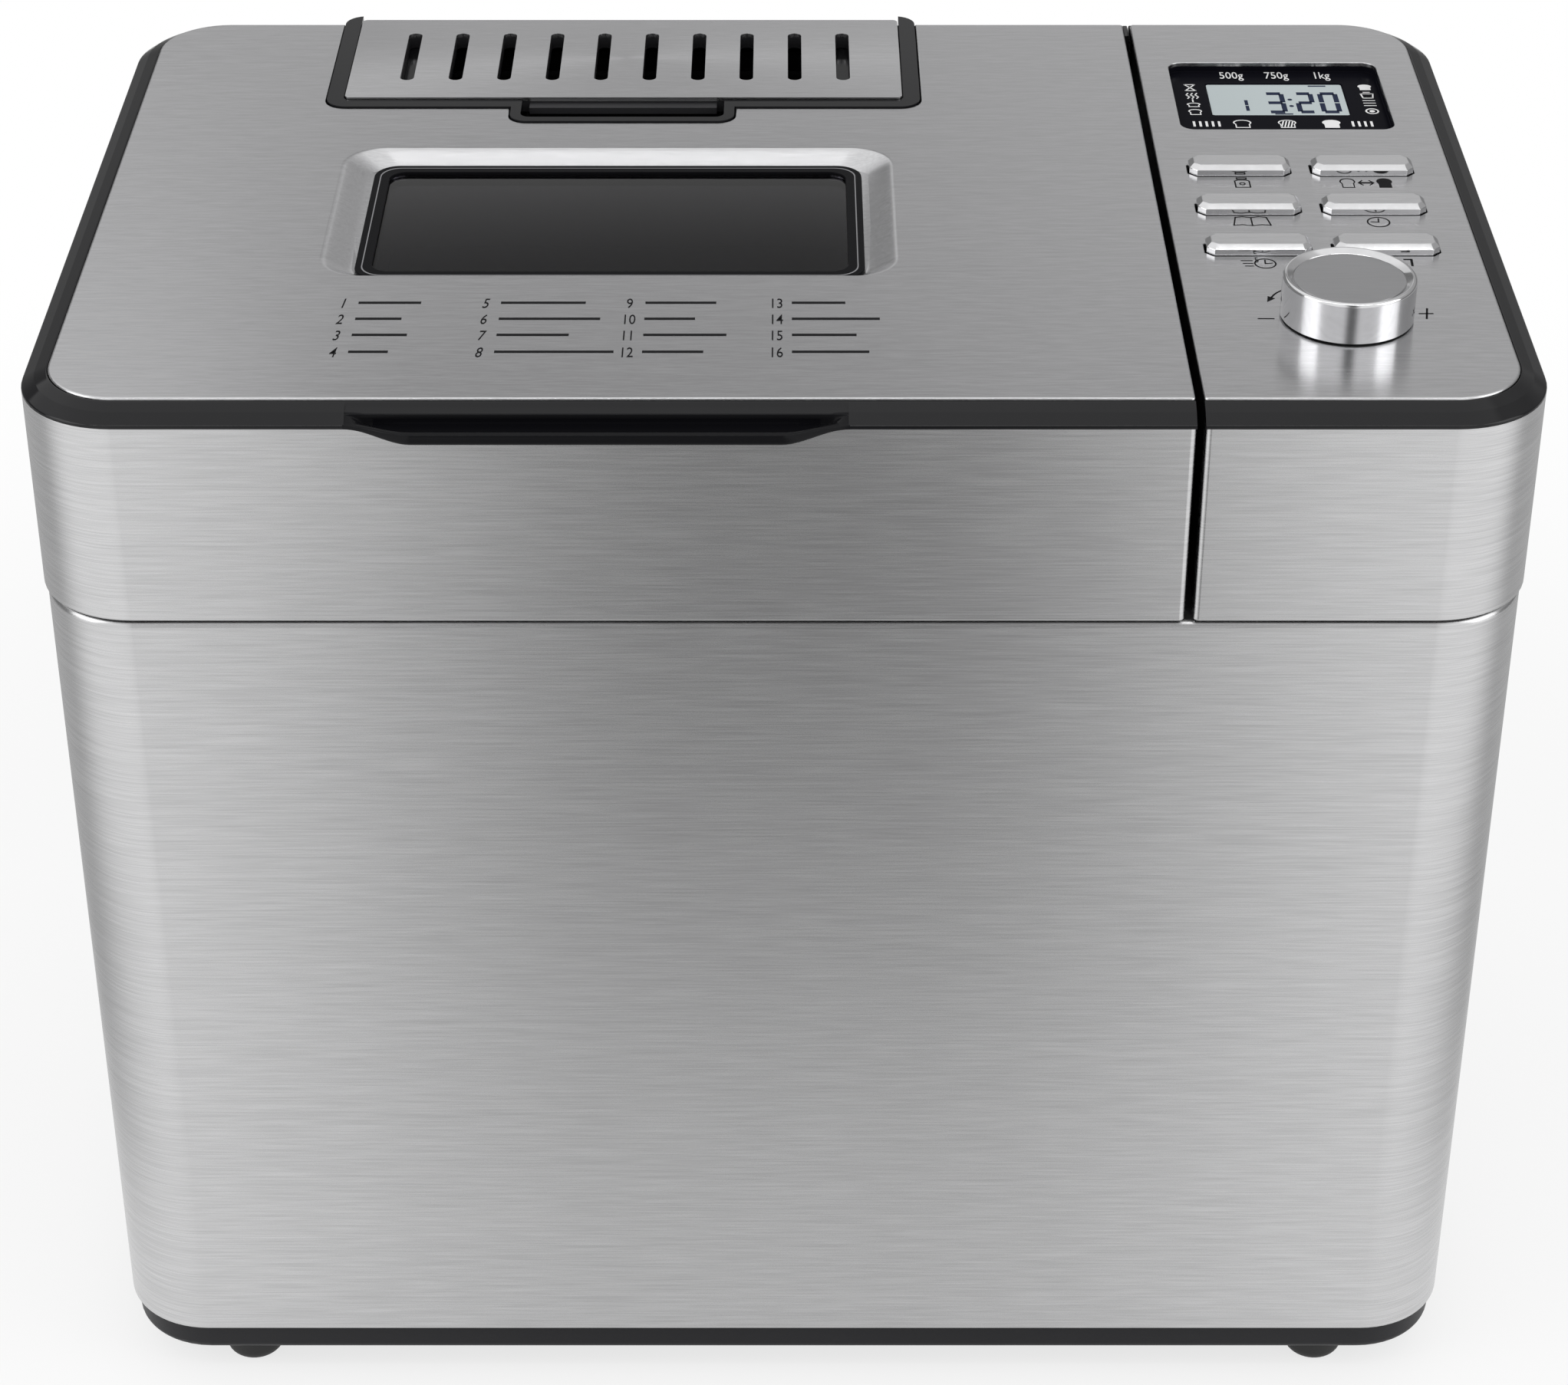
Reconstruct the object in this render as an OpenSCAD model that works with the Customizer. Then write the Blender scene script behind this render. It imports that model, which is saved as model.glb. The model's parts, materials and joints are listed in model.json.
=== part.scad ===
// Bread machine with a hinged lid, an ingredient dispenser and a control column.
// Millimetres. The machine stands on z = 0, its front faces -Y, X runs across its width.

/* [Body] */
// Width over the steel skin
body_w = 385; // [375:1:400]
// Depth over the steel skin
body_d = 254; // [250:1:262]
// Height of the lower steel wrap
wrap_h = 239.3; // [236:0.1:250]
// Radius of the upright corners
corner_r = 26; // [23:1:29]
// Thickness of the steel skin
sheet_t = 1; // [0.8:0.1:1.2]
// How far the lower wrap stands back from the lid skirt
wrap_inset = 0.8; // [0.5:0.1:1.2]
// Radius of the rolled top edge of the wrap
roll_r = 2; // [1.5:0.1:2.5]
// Height of the base band that shows under the wrap
base_h = 9.7; // [8:0.1:12]
// How far the base band stands back from the skin
base_inset = 2.5; // [2.2:0.1:3.5]
// Height of a foot
foot_h = 9; // [7:0.5:12]
// Diameter of a foot
foot_d = 17; // [14:0.5:20]
// Distance between the left and right feet
foot_span_x = 311; // [280:1:315]
// Distance from the front face to the front feet, and from the back to the rear ones
foot_edge_y = 15; // [13:0.5:30]
// How far the wrap reaches round the back at each side, beside the vented rear panel
wrap_back = 32.5; // [28:0.5:34.5]

/* [Lid and column] */
// Height of the steel skirt of lid and column
skirt_h = 56; // [50:0.5:60]
// Height of the black rim above the skirt
rim_h = 5; // [4:0.1:6]
// Width of the black rim
rim_w = 7; // [6:0.1:8]
// Width of the control column
column_w = 88.2; // [86:0.1:92]
// Gap between lid and column
gap_w = 2.2; // [1.6:0.1:3]
// Height of the dark line between the wrap and the skirts
seam_gap = 0.8; // [0.5:0.1:1.2]
// Thickness of the steel top plates
plate_t = 1.2; // [0.8:0.1:1.5]
// Wall of the black moulded shells
shell_t = 2; // [1.6:0.1:2.5]
// Distance from the left side to the middle of window, dispenser and pan
middle_from_left = 146.1; // [144:0.1:148]
// How far the lid opens, for the liner's depth over the seam
ceiling_h = 28.2; // [27:0.1:30]

/* [Window] */
// Width over the gasket
window_w = 136.2; // [120:0.1:140]
// Depth over the gasket
window_d = 71.7; // [60:0.1:74]
// Distance from the front face to the gasket
window_y = 80.5; // [78:0.1:84]
// Depth of the stamped dish around the window
dish_depth = 4; // [3:0.1:4.5]
// Width of the dish's slope at the sides
dish_side = 9.2; // [6:0.1:12]
// Width of the dish's slope at the front and the back
dish_end = 4.2; // [3.5:0.1:6]
// Width of the gasket that shows
gasket_w = 4.5; // [3.5:0.1:5.5]
// Thickness of a pane
pane_t = 3; // [2.5:0.1:3.2]

/* [Dispenser] */
// Width of the steel flap
flap_w = 161; // [150:0.5:164]
// Distance from the front face to the front edge of the flap
flap_y = 190; // [189:0.5:192]
// Number of vent slots
slot_n = 10; // [6:1:10]
// Distance from slot to slot
slot_pitch = 14.15; // [12:0.05:15]
// Width of a slot
slot_w = 4; // [3:0.1:5]
// Length of a slot
slot_l = 35; // [25:0.5:38]
// Width of the black surround at the sides of the flap
surround_w = 4.8; // [4.4:0.1:5.5]
// Width of the finger pocket over its wall
pocket_w = 64.3; // [50:0.1:70]
// How far the finger pocket reaches in front of the surround
pocket_out = 10.2; // [8:0.1:12]
// Width of the ingredient tub
tub_w = 109; // [106:0.5:112]

/* [Handle] */
// Width of the handle lip where it leaves the rim
handle_w = 125.4; // [110:0.1:140]
// How far the lip stands out of the front face
handle_out = 5; // [4:0.1:7]
// Height of the lip's front face
handle_h = 3.2; // [2.5:0.1:4]

/* [Controls] */
// Middle of the display and the buttons, from the right side
panel_from_right = 48.9; // [47:0.1:50]
// Middle of the knob, from the right side
knob_from_right = 47.4; // [46:0.1:49]
// Middle of the knob, behind the front face
knob_y = 51.9; // [48:0.1:56]
// Diameter of the knob
knob_d = 34.4; // [28:0.1:38]
// Height of the knob
knob_h = 11.5; // [9:0.1:15]
// Width of a button
button_w = 28; // [24:0.1:29]
// Depth of a button
button_d = 9; // [7:0.1:11]
// Height of a button above the plate
button_h = 2.8; // [2.4:0.1:4]
// Travel of a button
button_travel = 1.5; // [1:0.1:1.8]
// Distance between the two columns of buttons
button_pitch_x = 34.1; // [33.5:0.1:35]
// Distance between the rows of buttons
button_pitch_y = 25.2; // [22:0.1:26]
// Front row of buttons, behind the front face
button_y = 92.2; // [90:0.1:94]
// Width of the display opening
display_w = 61; // [56:0.5:64]
// Depth of the display opening
display_d = 48; // [44:0.5:50]
// Front edge of the display opening, behind the front face
display_y = 169.8; // [168:0.1:172]
// Width of the display glass
lcd_w = 40; // [34:0.5:44]
// Depth of the display glass
lcd_d = 22.6; // [20:0.1:26]

/* [Chamber and pan] */
// Inner width of the baking chamber
chamber_w = 216; // [212:1:220]
// Inner depth of the baking chamber
chamber_d = 190; // [186:1:194]
// Width of the pan at the top, without its bead
pan_w = 180; // [170:1:184]
// Depth of the pan at the top, without its bead
pan_d = 130; // [122:1:134]
// Height of the pan
pan_h = 146; // [120:1:148]
// How much narrower the pan is at the bottom
pan_taper = 12; // [6:1:16]
// Wall of the pan
pan_t = 1.6; // [1.2:0.1:2]
// Radius of the bail's swing
bail_r = 47; // [40:0.5:48]
// Radius of the bail's wire
bail_wire_r = 2.2; // [1.8:0.1:2.4]
// Length of a paddle blade from the shaft
paddle_l = 48; // [38:1:52]
// Height of the paddle
paddle_h = 26; // [20:1:30]
// Radius of the heating tube
tube_r = 3.2; // [2.8:0.1:3.6]

/* [Drive] */
// Radius of the large pulley
drive_pulley_r = 38; // [32:0.5:42]
// Radius of the motor pulley
motor_pulley_r = 10; // [9:0.5:12]
// Width of the belt
belt_w = 11; // [9:0.5:12]
// Number of ribs under the belt
rib_n = 4; // [3:1:4]
// Radius of the drive shaft and the motor shaft
shaft_r = 4; // [3.5:0.1:4.5]
// Motor axis, behind the pan's axis
motor_dy = 23; // [18:0.5:28]
// Radius of the motor's can
motor_r = 33; // [28:0.5:35]
// Height of the motor's can
motor_h = 76; // [60:1:90]

/* [Hinge] */
// Radius of a hinge knuckle
knuckle_r = 4; // [3.6:0.1:4.4]
// Distance of the hinge axis behind the rear face
hinge_back = 4.5; // [4.5:0.1:5.5]
// Radius of the hinge pin
hinge_pin_r = 2; // [1.6:0.1:2.2]
// Width of a hinge
hinge_w = 34; // [28:0.5:38]
// Distance from the end of the wrap to the left hinge
hinge_edge = 3.1; // [2.5:0.1:6]

/* [Fits] */
// Gap between parts that are seated on each other
seat = 0.2; // [0.1:0.05:0.3]
// Radial clearance of a shaft in its hole
run = 0.06; // [0.03:0.01:0.09]
// Gap beside a button and beside the flap
slide_gap = 0.4; // [0.3:0.05:0.6]

/* [Hidden] */
$fn = 96;
over = 1;                                       // how far a cutter runs past a face
overall_d = handle_out + body_d + hinge_back + knuckle_r;
front_y = handle_out - overall_d / 2;
back_y = front_y + body_d;
side_x = body_w / 2;
// levels, from the floor up
base_z = foot_h;
wrap_z = base_z + base_h;
seam_z = wrap_z + wrap_h;
panel_w = body_w - 2 * wrap_back;
skirt_z0 = seam_z + seam_gap / 2;
skirt_z1 = seam_z + skirt_h;
top_z = skirt_z1 + rim_h;
plate_z = top_z - plate_t;
wrap_top = seam_z - seam_gap / 2;
// depths behind the skin
inner_inset = wrap_inset + sheet_t + seat;      // parts that line the wrap
skirt_inset = sheet_t + seat;                   // parts that line the skirts
shell_inner = skirt_inset + shell_t;
plate_inset = rim_w;
plate_r = corner_r - rim_w;
// the two upper halves
column_x = side_x - column_w;
lid_x = column_x - gap_w;
mid_x = -side_x + middle_from_left;
mid_y = front_y + body_d / 2;
// the rim's ledge under the plates
ledge_w = 4;
ledge_t = 2;
ledge_z = plate_z - seat - ledge_t;
lip_drop = 0.6;                                 // the plate stands this far above the rim
deck_t = 2;
shell_deck_z = ledge_z - seat - deck_t;
// window
win_lo = [mid_x - window_w / 2, front_y + window_y];
win_hi = [mid_x + window_w / 2, front_y + window_y + window_d];
window_r = 7;
gasket_lip = 0.8;
gasket_neck = 1.3;
pane_edge = 3.6;
pane_z = top_z - dish_depth - 0.3 - pane_t;
// liner and seal of the lid
ceiling_z = seam_z + ceiling_h;
liner_t = 1;
liner_z = skirt_z0 + 0.6;
liner_side = 4;                                 // liner's inner walls stand this far outside the chamber's
tunnel_z = ceiling_z + liner_t + seat;
// lower body
deck_top = wrap_top - sheet_t - seat;
deck_h = 6.2;
panel_t = 2;
panel_lap = 6;
deck_back = inner_inset + panel_t + seat;
chassis_z = 44;
chassis_t = 2;
chassis_top = chassis_z + chassis_t;
chamber_t = 1;
chamber_z = chassis_top + 20;                   // inside floor of the chamber
chamber_top = deck_top - deck_h - seat;
chamber_r = 20;
mouth_gap = 2;                                  // deck's mouth stands this far outside the chamber
// pan
socket_r = 44;
collar_r = 36;
collar_t = 5;
dog_gap = 0.3;
dog_h = 9.5;                                    // the coupler's two dogs drive the pin under the pan
pan_pin_z = chamber_z + 7.8;
collar_z = chamber_z + 4;
pan_z = collar_z + 14;
pan_top = pan_z + pan_h;
bead_r = 2.4;
bail_z = pan_top + bead_r + 0.3 + bail_wire_r;
ear_x = pan_w / 2 - pan_t - 0.7;
paddle_z = pan_z + 3;
pan_shaft_r = 4;
// hinge
hinge_y = back_y + hinge_back;
hinge_z = seam_z;
leaf_t = 2;
leaf_h = 20;
hinge_span = 2 * (middle_from_left - wrap_back - hinge_edge - hinge_w / 2);
knuckle_gap = 0.3;
// dispenser
flap_x0 = mid_x - flap_w / 2;
flap_x1 = mid_x + flap_w / 2;
flap_top = top_z + 1;
frame_z0 = top_z - 3.6;
frame_z1 = flap_top - plate_t;
flap_axis_y = back_y - 4.5;
flap_axis_z = top_z - 3;
flap_barrel_r = 2.6;
stub_r = 1.5;
stub_l = 3.4;
well_x0 = flap_x0 - slide_gap;                  // opening in the surround for the flap
well_x1 = flap_x1 + slide_gap;
surround_x0 = well_x0 - surround_w;
surround_x1 = well_x1 + surround_w;
surround_front = front_y + flap_y - slide_gap - surround_w;
surround_back = back_y - shell_inner + 1.6;
surround_z = top_z - 12;
surround_top = top_z + 0.4;
well_z = frame_z0 - seat;
pocket_front = surround_front - pocket_out;
pocket_wall = 3;
pocket_z = top_z - 9;
sill_z = flap_axis_z - flap_barrel_r - 0.4;
mouth_y0 = surround_front + 12;
mouth_y1 = back_y - 14;
tub_x0 = mid_x - tub_w / 2;
tub_x1 = mid_x + tub_w / 2;
tub_y0 = surround_front - 6.8;
tub_y1 = back_y - 12;
tub_t = 1.5;
tub_z0 = tunnel_z + 0.2;
tub_z1 = surround_z - seat;
outlet_w = 78;
outlet_y0 = tub_y0;
outlet_y1 = tub_y0 + 27;
door_t = 1.7;
door_top = ceiling_z - 0.3;
door_axis_y = outlet_y1 + 3.2;
door_axis_z = door_top - 1;
door_barrel_r = 2.2;
ear_t = 3.4;
plunger_x = tub_x1 + 7.5;
plunger_y = door_axis_y - 5.5;                  // close to the axis, so a short push swings the door
plunger_r = 2;
solenoid_z = tub_z0 + 2;
// controls
panel_x = side_x - panel_from_right;
knob_x = side_x - knob_from_right;
display_depth = 3;                              // the bezel's face lies this far under the plate
bezel_z1 = top_z - display_depth;
bezel_z0 = bezel_z1 - 2.4;
board_z = top_z - 15;
board_t = 1.6;
button_flange = 1.2;
flange_z1 = plate_z - 0.6;
flange_z0 = flange_z1 - 1.2;
stem_z = board_z + board_t + 3.4;
// drive
pulley_z = chassis_z - 23;
pulley_h = belt_w + 3;
bearing_r = 12;
groove_d = 1.8;
groove_w = 2;
rib_w = 1.4;
belt_gap = 0.3;
belt_t = 2.2;
motor_x = (mid_x + chamber_w / 2 + chamber_t + side_x) / 2;  // between the chamber and the right side
motor_dx = motor_x - mid_x;
motor_y = mid_y + motor_dy;
shaft_bottom = pulley_z - 2;

// ---- shared shapes ----

// Rectangle with one radius at its two left corners and another at its two right corners
module outline(x0, y0, x1, y1, left_r, right_r) {
    translate([x0 + left_r, y0]) square([x1 - x0 - left_r - right_r, y1 - y0]);
    translate([x0, y0 + left_r]) square([left_r + 0.001, y1 - y0 - 2 * left_r]);
    translate([x1 - right_r - 0.001, y0 + right_r]) square([right_r + 0.001, y1 - y0 - 2 * right_r]);
    for (y = [y0 + left_r, y1 - left_r]) translate([x0 + left_r, y]) circle(left_r);
    for (y = [y0 + right_r, y1 - right_r]) translate([x1 - right_r, y]) circle(right_r);
}

// The same outline as a slab between two levels
module slab(x0, y0, x1, y1, left_r, right_r, z0, z1) {
    translate([0, 0, z0]) linear_extrude(z1 - z0) outline(x0, y0, x1, y1, left_r, right_r);
}

// A slab over the whole machine, set back by inset on every side
module body_slab(inset, z0, z1, back_inset = 0) {
    r = corner_r - inset;
    slab(-side_x + inset, front_y + inset, side_x - inset, back_y - inset - back_inset, r, r, z0, z1);
}

// A plain block between two corners
module block(lo, hi) {
    translate(lo) cube(hi - lo);
}

// Sweeps a profile (x outwards from the path, y up) along the front, the rounded corners, the sides
// and the back of a rectangle. Without its left or its right side it runs off square at that end.
module edge_loop(x0, y0, x1, y1, r, left = true, right = true) {
    xa = left ? x0 + r : x0;
    xb = right ? x1 - r : x1;
    translate([xb, y0, 0]) rotate([90, 0, -90]) linear_extrude(xb - xa) children();
    translate([xa, y1, 0]) rotate([90, 0, 90]) linear_extrude(xb - xa) children();
    if (left) {
        translate([x0, y0 + r, 0]) rotate([90, 0, 180]) linear_extrude(y1 - y0 - 2 * r) children();
        corner_turn(x0 + r, y0 + r, r, 180) children();
        corner_turn(x0 + r, y1 - r, r, 90) children();
    }
    if (right) {
        translate([x1, y1 - r, 0]) rotate([90, 0, 0]) linear_extrude(y1 - y0 - 2 * r) children();
        corner_turn(x1 - r, y0 + r, r, 270) children();
        corner_turn(x1 - r, y1 - r, r, 0) children();
    }
}

// One quarter turn of an edge_loop
module corner_turn(x, y, r, start) {
    translate([x, y, 0]) rotate([0, 0, start]) rotate_extrude(angle = 90) translate([r, 0]) children();
}

// Upright sheet whose top edge is rolled inwards to a flange
module rolled_sheet(h, flange) {
    translate([-sheet_t, 0]) square([sheet_t, h - roll_r]);
    translate([-flange, h - sheet_t]) square([flange - roll_r, sheet_t]);
    translate([-roll_r, h - roll_r]) intersection() {
        square(roll_r);
        difference() {
            circle(roll_r);
            circle(roll_r - sheet_t);
        }
    }
}

// Cylinder along X from x0 to x1
module rod_x(x0, x1, y, z, r) {
    translate([x0, y, z]) rotate([0, 90, 0]) cylinder(h = x1 - x0, r = r);
}

// ---- lower body ----

module body_wrap() color("silver") difference() {
    edge_loop(-side_x + wrap_inset, front_y + wrap_inset, side_x - wrap_inset, back_y - wrap_inset,
              corner_r - wrap_inset)
        translate([0, wrap_z]) rolled_sheet(wrap_top - wrap_z, 7);
    block([-panel_w / 2, back_y - corner_r / 2, wrap_z - over], [panel_w / 2, back_y + over, seam_z + over]);
}

vent_pitch = 8;
vent_h = 3.2;
vent_rows = 9;
vent_top = 40;                                  // top vent row, below the seam
vent_w = 62;
vent_edge = 10.5;                               // from the upper vents to the panel's side
module vent_slots(x0, x1, z0, n) {
    for (k = [0:n - 1]) translate([0, back_y, z0 + k * vent_pitch]) rotate([90, 0, 0])
        linear_extrude(body_d / 4) outline(x0, 0, x1, vent_h, vent_h / 2 - 0.01, vent_h / 2 - 0.01);
}

gland_x = side_x - 52;
gland_z = wrap_z + 22;
gland_r = 8;
module rear_panel() color([0.12, 0.12, 0.13]) {
    y1 = back_y - inner_inset;
    difference() {
        union() {
            block([-panel_w / 2 - panel_lap, y1 - panel_t, wrap_z + 0.5],
                  [panel_w / 2 + panel_lap, y1, wrap_top - roll_r - seat]);
            block([-panel_w / 2 + seat, y1 - panel_t, wrap_z + 0.5], [panel_w / 2 - seat, y1, wrap_top - 0.4]);
        }
        vent_slots(panel_w / 2 - vent_edge - vent_w, panel_w / 2 - vent_edge,
                   seam_z - vent_top - (vent_rows - 1) * vent_pitch, vent_rows);
        vent_slots(mid_x - 60, mid_x + 60, wrap_z + 20, 5);
        translate([gland_x, y1 + over, gland_z]) rotate([90, 0, 0])
            cylinder(h = panel_t + 2 * over, r = gland_r + seat);
    }
}

module cord_gland() color([0.1, 0.1, 0.1]) {
    y1 = back_y - inner_inset;
    translate([gland_x, y1, gland_z]) rotate([-90, 0, 0]) rotate_extrude() difference() {
        union() {
            translate([0, -panel_t - 2.5]) square([gland_r, panel_t + 5]);
            translate([0, seat]) square([gland_r + 2.5, 2.5]);
            translate([0, -panel_t - 2.5 - seat]) square([gland_r + 1.5, 2.5]);
        }
        translate([0, -panel_t - 4]) square([4.2, panel_t + 8]);
    }
}

tray_t = 3;
tray_wall_h = 13;
post_r = 6;
post_x = [-132, 165];
post_y = [34, 212];
module tray_profile() {
    round_r = 2.5;
    translate([-tray_t, 0]) square([tray_t - round_r, base_h]);
    translate([-round_r, round_r]) square([round_r, base_h - round_r]);
    translate([-round_r, round_r]) circle(round_r);
}
module base_tray() color([0.17, 0.17, 0.18]) {
    edge_loop(-side_x + base_inset, front_y + base_inset, side_x - base_inset, back_y - base_inset,
              corner_r - base_inset) translate([0, base_z]) tray_profile();
    difference() {
        union() {
            body_slab(base_inset + tray_t - 0.5, base_z, base_z + tray_t);
            difference() {
                body_slab(inner_inset, wrap_z, wrap_z + tray_wall_h);
                body_slab(inner_inset + tray_t, wrap_z - over, wrap_z + tray_wall_h + over);
                block([-panel_w / 2 - panel_lap - seat, back_y - corner_r / 2, wrap_z],
                      [panel_w / 2 + panel_lap + seat, back_y, wrap_z + tray_wall_h + over]);
            }
        }
        for (k = [0:5]) slab(motor_x - 30, motor_y - 26 + k * 10, motor_x + 30, motor_y - 22 + k * 10,
                             1.9, 1.9, base_z - over, base_z + tray_t + over);
    }
    for (x = post_x, y = post_y) translate([x, front_y + y, base_z + tray_t - 0.5])
        cylinder(h = chassis_z - base_z - tray_t + 0.5, r = post_r);
}

module feet() color([0.06, 0.06, 0.06]) {
    round_r = 3.5;
    for (x = [-1, 1], y = [front_y + foot_edge_y, back_y - foot_edge_y])
        translate([x * foot_span_x / 2, y, 0]) rotate_extrude() {
            square([foot_d / 2 - round_r, base_z]);
            translate([0, round_r]) square([foot_d / 2, base_z - round_r]);
            intersection() {
                translate([foot_d / 2 - round_r, round_r]) circle(round_r);
                square([foot_d, base_z]);
            }
        }
}

module mouth(inset, z0, z1) {
    slab(mid_x - chamber_w / 2 - inset, mid_y - chamber_d / 2 - inset,
         mid_x + chamber_w / 2 + inset, mid_y + chamber_d / 2 + inset,
         chamber_r + inset, chamber_r + inset, z0, z1);
}

wiring_w = 28;
wiring_d = 36;
// The deck's top layer stands back, clear of the wrap's rolled edge
module deck_frame() color([0.1, 0.1, 0.11]) difference() {
    union() {
        body_slab(inner_inset, deck_top - deck_h, deck_top - 1, deck_back - inner_inset);
        body_slab(inner_inset + 1, deck_top - deck_h, deck_top, deck_back - inner_inset - 1);
    }
    mouth(mouth_gap, deck_top - deck_h - over, deck_top + over);
    slab(panel_x - wiring_w / 2, mid_y - wiring_d / 2, panel_x + wiring_w / 2, mid_y + wiring_d / 2, 5, 5,
         deck_top - deck_h - over, deck_top + over);
}

leg_r = 5;
leg_in = 26;
chassis_left = 42;
chassis_edge = 14;
module chassis_plate() color([0.62, 0.64, 0.66]) difference() {
    union() {
        slab(-side_x + chassis_left, front_y + chassis_edge + 2, side_x - chassis_edge, back_y - 2 * chassis_edge,
             8, 8, chassis_z, chassis_top);
        for (x = [-1, 1], y = [-1, 1])
            translate([mid_x + x * (chamber_w / 2 - leg_in), mid_y + y * (chamber_d / 2 - leg_in), chassis_z])
                cylinder(h = chamber_z - chamber_t - seat - chassis_z, r = leg_r);
    }
    translate([mid_x, mid_y, chassis_z - over]) cylinder(h = chassis_t + 2 * over, r = bearing_r + seat);
    translate([motor_x, motor_y, chassis_z - over]) cylinder(h = chassis_t + 2 * over, r = shaft_r + 4);
}

terminal_y = 10;
terminal_mid = mid_y - 30;                      // in front of the motor
sensor_y = mid_y + 34;
sensor_z = chamber_z + (chamber_top - chamber_z) * 0.35;
sensor_r = 4;
tube_z = chamber_z + 18;
module baking_chamber() color([0.55, 0.56, 0.57]) difference() {
    union() {
        mouth(chamber_t, chamber_z - chamber_t, chamber_top);
        mouth(chamber_t + 9, chamber_top - chamber_t, chamber_top);
    }
    mouth(0, chamber_z, chamber_top + over);
    translate([mid_x, mid_y, chamber_z - chamber_t - over]) cylinder(h = chamber_t + 2 * over, r = shaft_r + 2);
    for (y = [-terminal_y, terminal_y])
        rod_x(mid_x + chamber_w / 2 - over, mid_x + chamber_w / 2 + chamber_t + over, terminal_mid + y,
              tube_z, tube_r + 1);
    rod_x(mid_x + chamber_w / 2 - over, mid_x + chamber_w / 2 + chamber_t + over, sensor_y, sensor_z, sensor_r + seat);
}

tube_x = 9;                                     // tube axis, inside the chamber's side walls
tube_y = 13;                                    // tube axis, inside the front and back walls
tube_bend = 26;
elbow_r = 8;
module tube_run(a, b) {
    d = b - a;
    translate([a[0], a[1], tube_z]) rotate([0, 0, atan2(d[1], d[0])]) rotate([0, 90, 0])
        cylinder(h = norm(d), r = tube_r);
}
module tube_turn(centre, r, start) {
    translate([centre[0], centre[1], tube_z]) rotate([0, 0, start]) rotate_extrude(angle = 90)
        translate([r, 0]) circle(tube_r, $fn = 48);
}
module heating_element() color([0.35, 0.33, 0.32]) {
    x0 = mid_x - chamber_w / 2 + tube_x;
    x1 = mid_x + chamber_w / 2 - tube_x;
    y0 = mid_y - chamber_d / 2 + tube_y;
    y1 = mid_y + chamber_d / 2 - tube_y;
    b = tube_bend;
    tube_run([x0 + b, y0], [x1 - b, y0]);
    tube_run([x0 + b, y1], [x1 - b, y1]);
    tube_run([x0, y0 + b], [x0, y1 - b]);
    tube_turn([x0 + b, y0 + b], b, 180);
    tube_turn([x0 + b, y1 - b], b, 90);
    tube_turn([x1 - b, y0 + b], b, 270);
    tube_turn([x1 - b, y1 - b], b, 0);
    for (s = [-1, 1]) {
        end_y = terminal_mid + s * terminal_y;
        leg_y = end_y + s * elbow_r;
        tube_run([x1, s < 0 ? y0 + b : y1 - b], [x1, leg_y]);
        tube_turn([x1 + elbow_r, leg_y], elbow_r, s < 0 ? 90 : 180);
        tube_run([x1 + elbow_r, end_y], [x1 + 28, end_y]);
        rod_x(x1 + 27, x1 + 34, end_y, tube_z, 1.2);
    }
}

clip_w = 12;
module element_clips() color([0.6, 0.6, 0.62]) {
    for (x = [-1, 1], y = [-1, 1])
        translate([mid_x + x * 55 - clip_w / 2, mid_y + y * (chamber_d / 2 - tube_y), chamber_z]) {
            difference() {
                translate([0, -1.2, 0]) cube([clip_w, 2.4, tube_z - chamber_z]);
                translate([-over, 0, tube_z - chamber_z]) rotate([0, 90, 0])
                    cylinder(h = clip_w + 2 * over, r = tube_r + seat);
            }
            translate([0, -5, 0]) cube([clip_w, 10, 1.2]);
        }
}

module pan_socket() color([0.7, 0.7, 0.72]) translate([mid_x, mid_y, chamber_z]) rotate_extrude() {
    inside = collar_r + dog_gap;
    polygon([[inside - 7, 0], [socket_r + 6, 0], [socket_r + 6, 2], [socket_r, 4], [socket_r - 2, 12],
             [inside, 12], [inside, collar_z - chamber_z - dog_gap], [inside - 7, collar_z - chamber_z - dog_gap]]);
}

module pan_clips() color([0.75, 0.75, 0.78]) {
    for (s = [0, 180]) translate([mid_x, mid_y, chamber_z]) rotate([0, 0, s])
        translate([socket_r + 7, 8, 0]) rotate([90, 0, 0]) linear_extrude(16)
            polygon([[0, 0], [9, 0], [9, 1], [1, 1], [1, 8], [-3, 12], [-1, 15.6], [-1.8, 16.2], [-4, 12], [0, 7.6]]);
}

module temperature_sensor() color([0.8, 0.78, 0.7]) {
    x = mid_x + chamber_w / 2;
    rod_x(x - 10, x + 3, sensor_y, sensor_z, sensor_r);
    rod_x(x + chamber_t, x + chamber_t + 5, sensor_y, sensor_z, 9);
}

module drive_bearing() color([0.5, 0.5, 0.52]) translate([mid_x, mid_y, 0]) difference() {
    union() {
        translate([0, 0, chassis_z - 4]) cylinder(h = chamber_z - chamber_t - seat - chassis_z + 4, r = bearing_r);
        translate([0, 0, chassis_top]) cylinder(h = 3, r = bearing_r + 10);
    }
    translate([0, 0, chassis_z - 4 - over]) cylinder(h = 30, r = shaft_r + run);
}

// ---- drive ----

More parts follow.
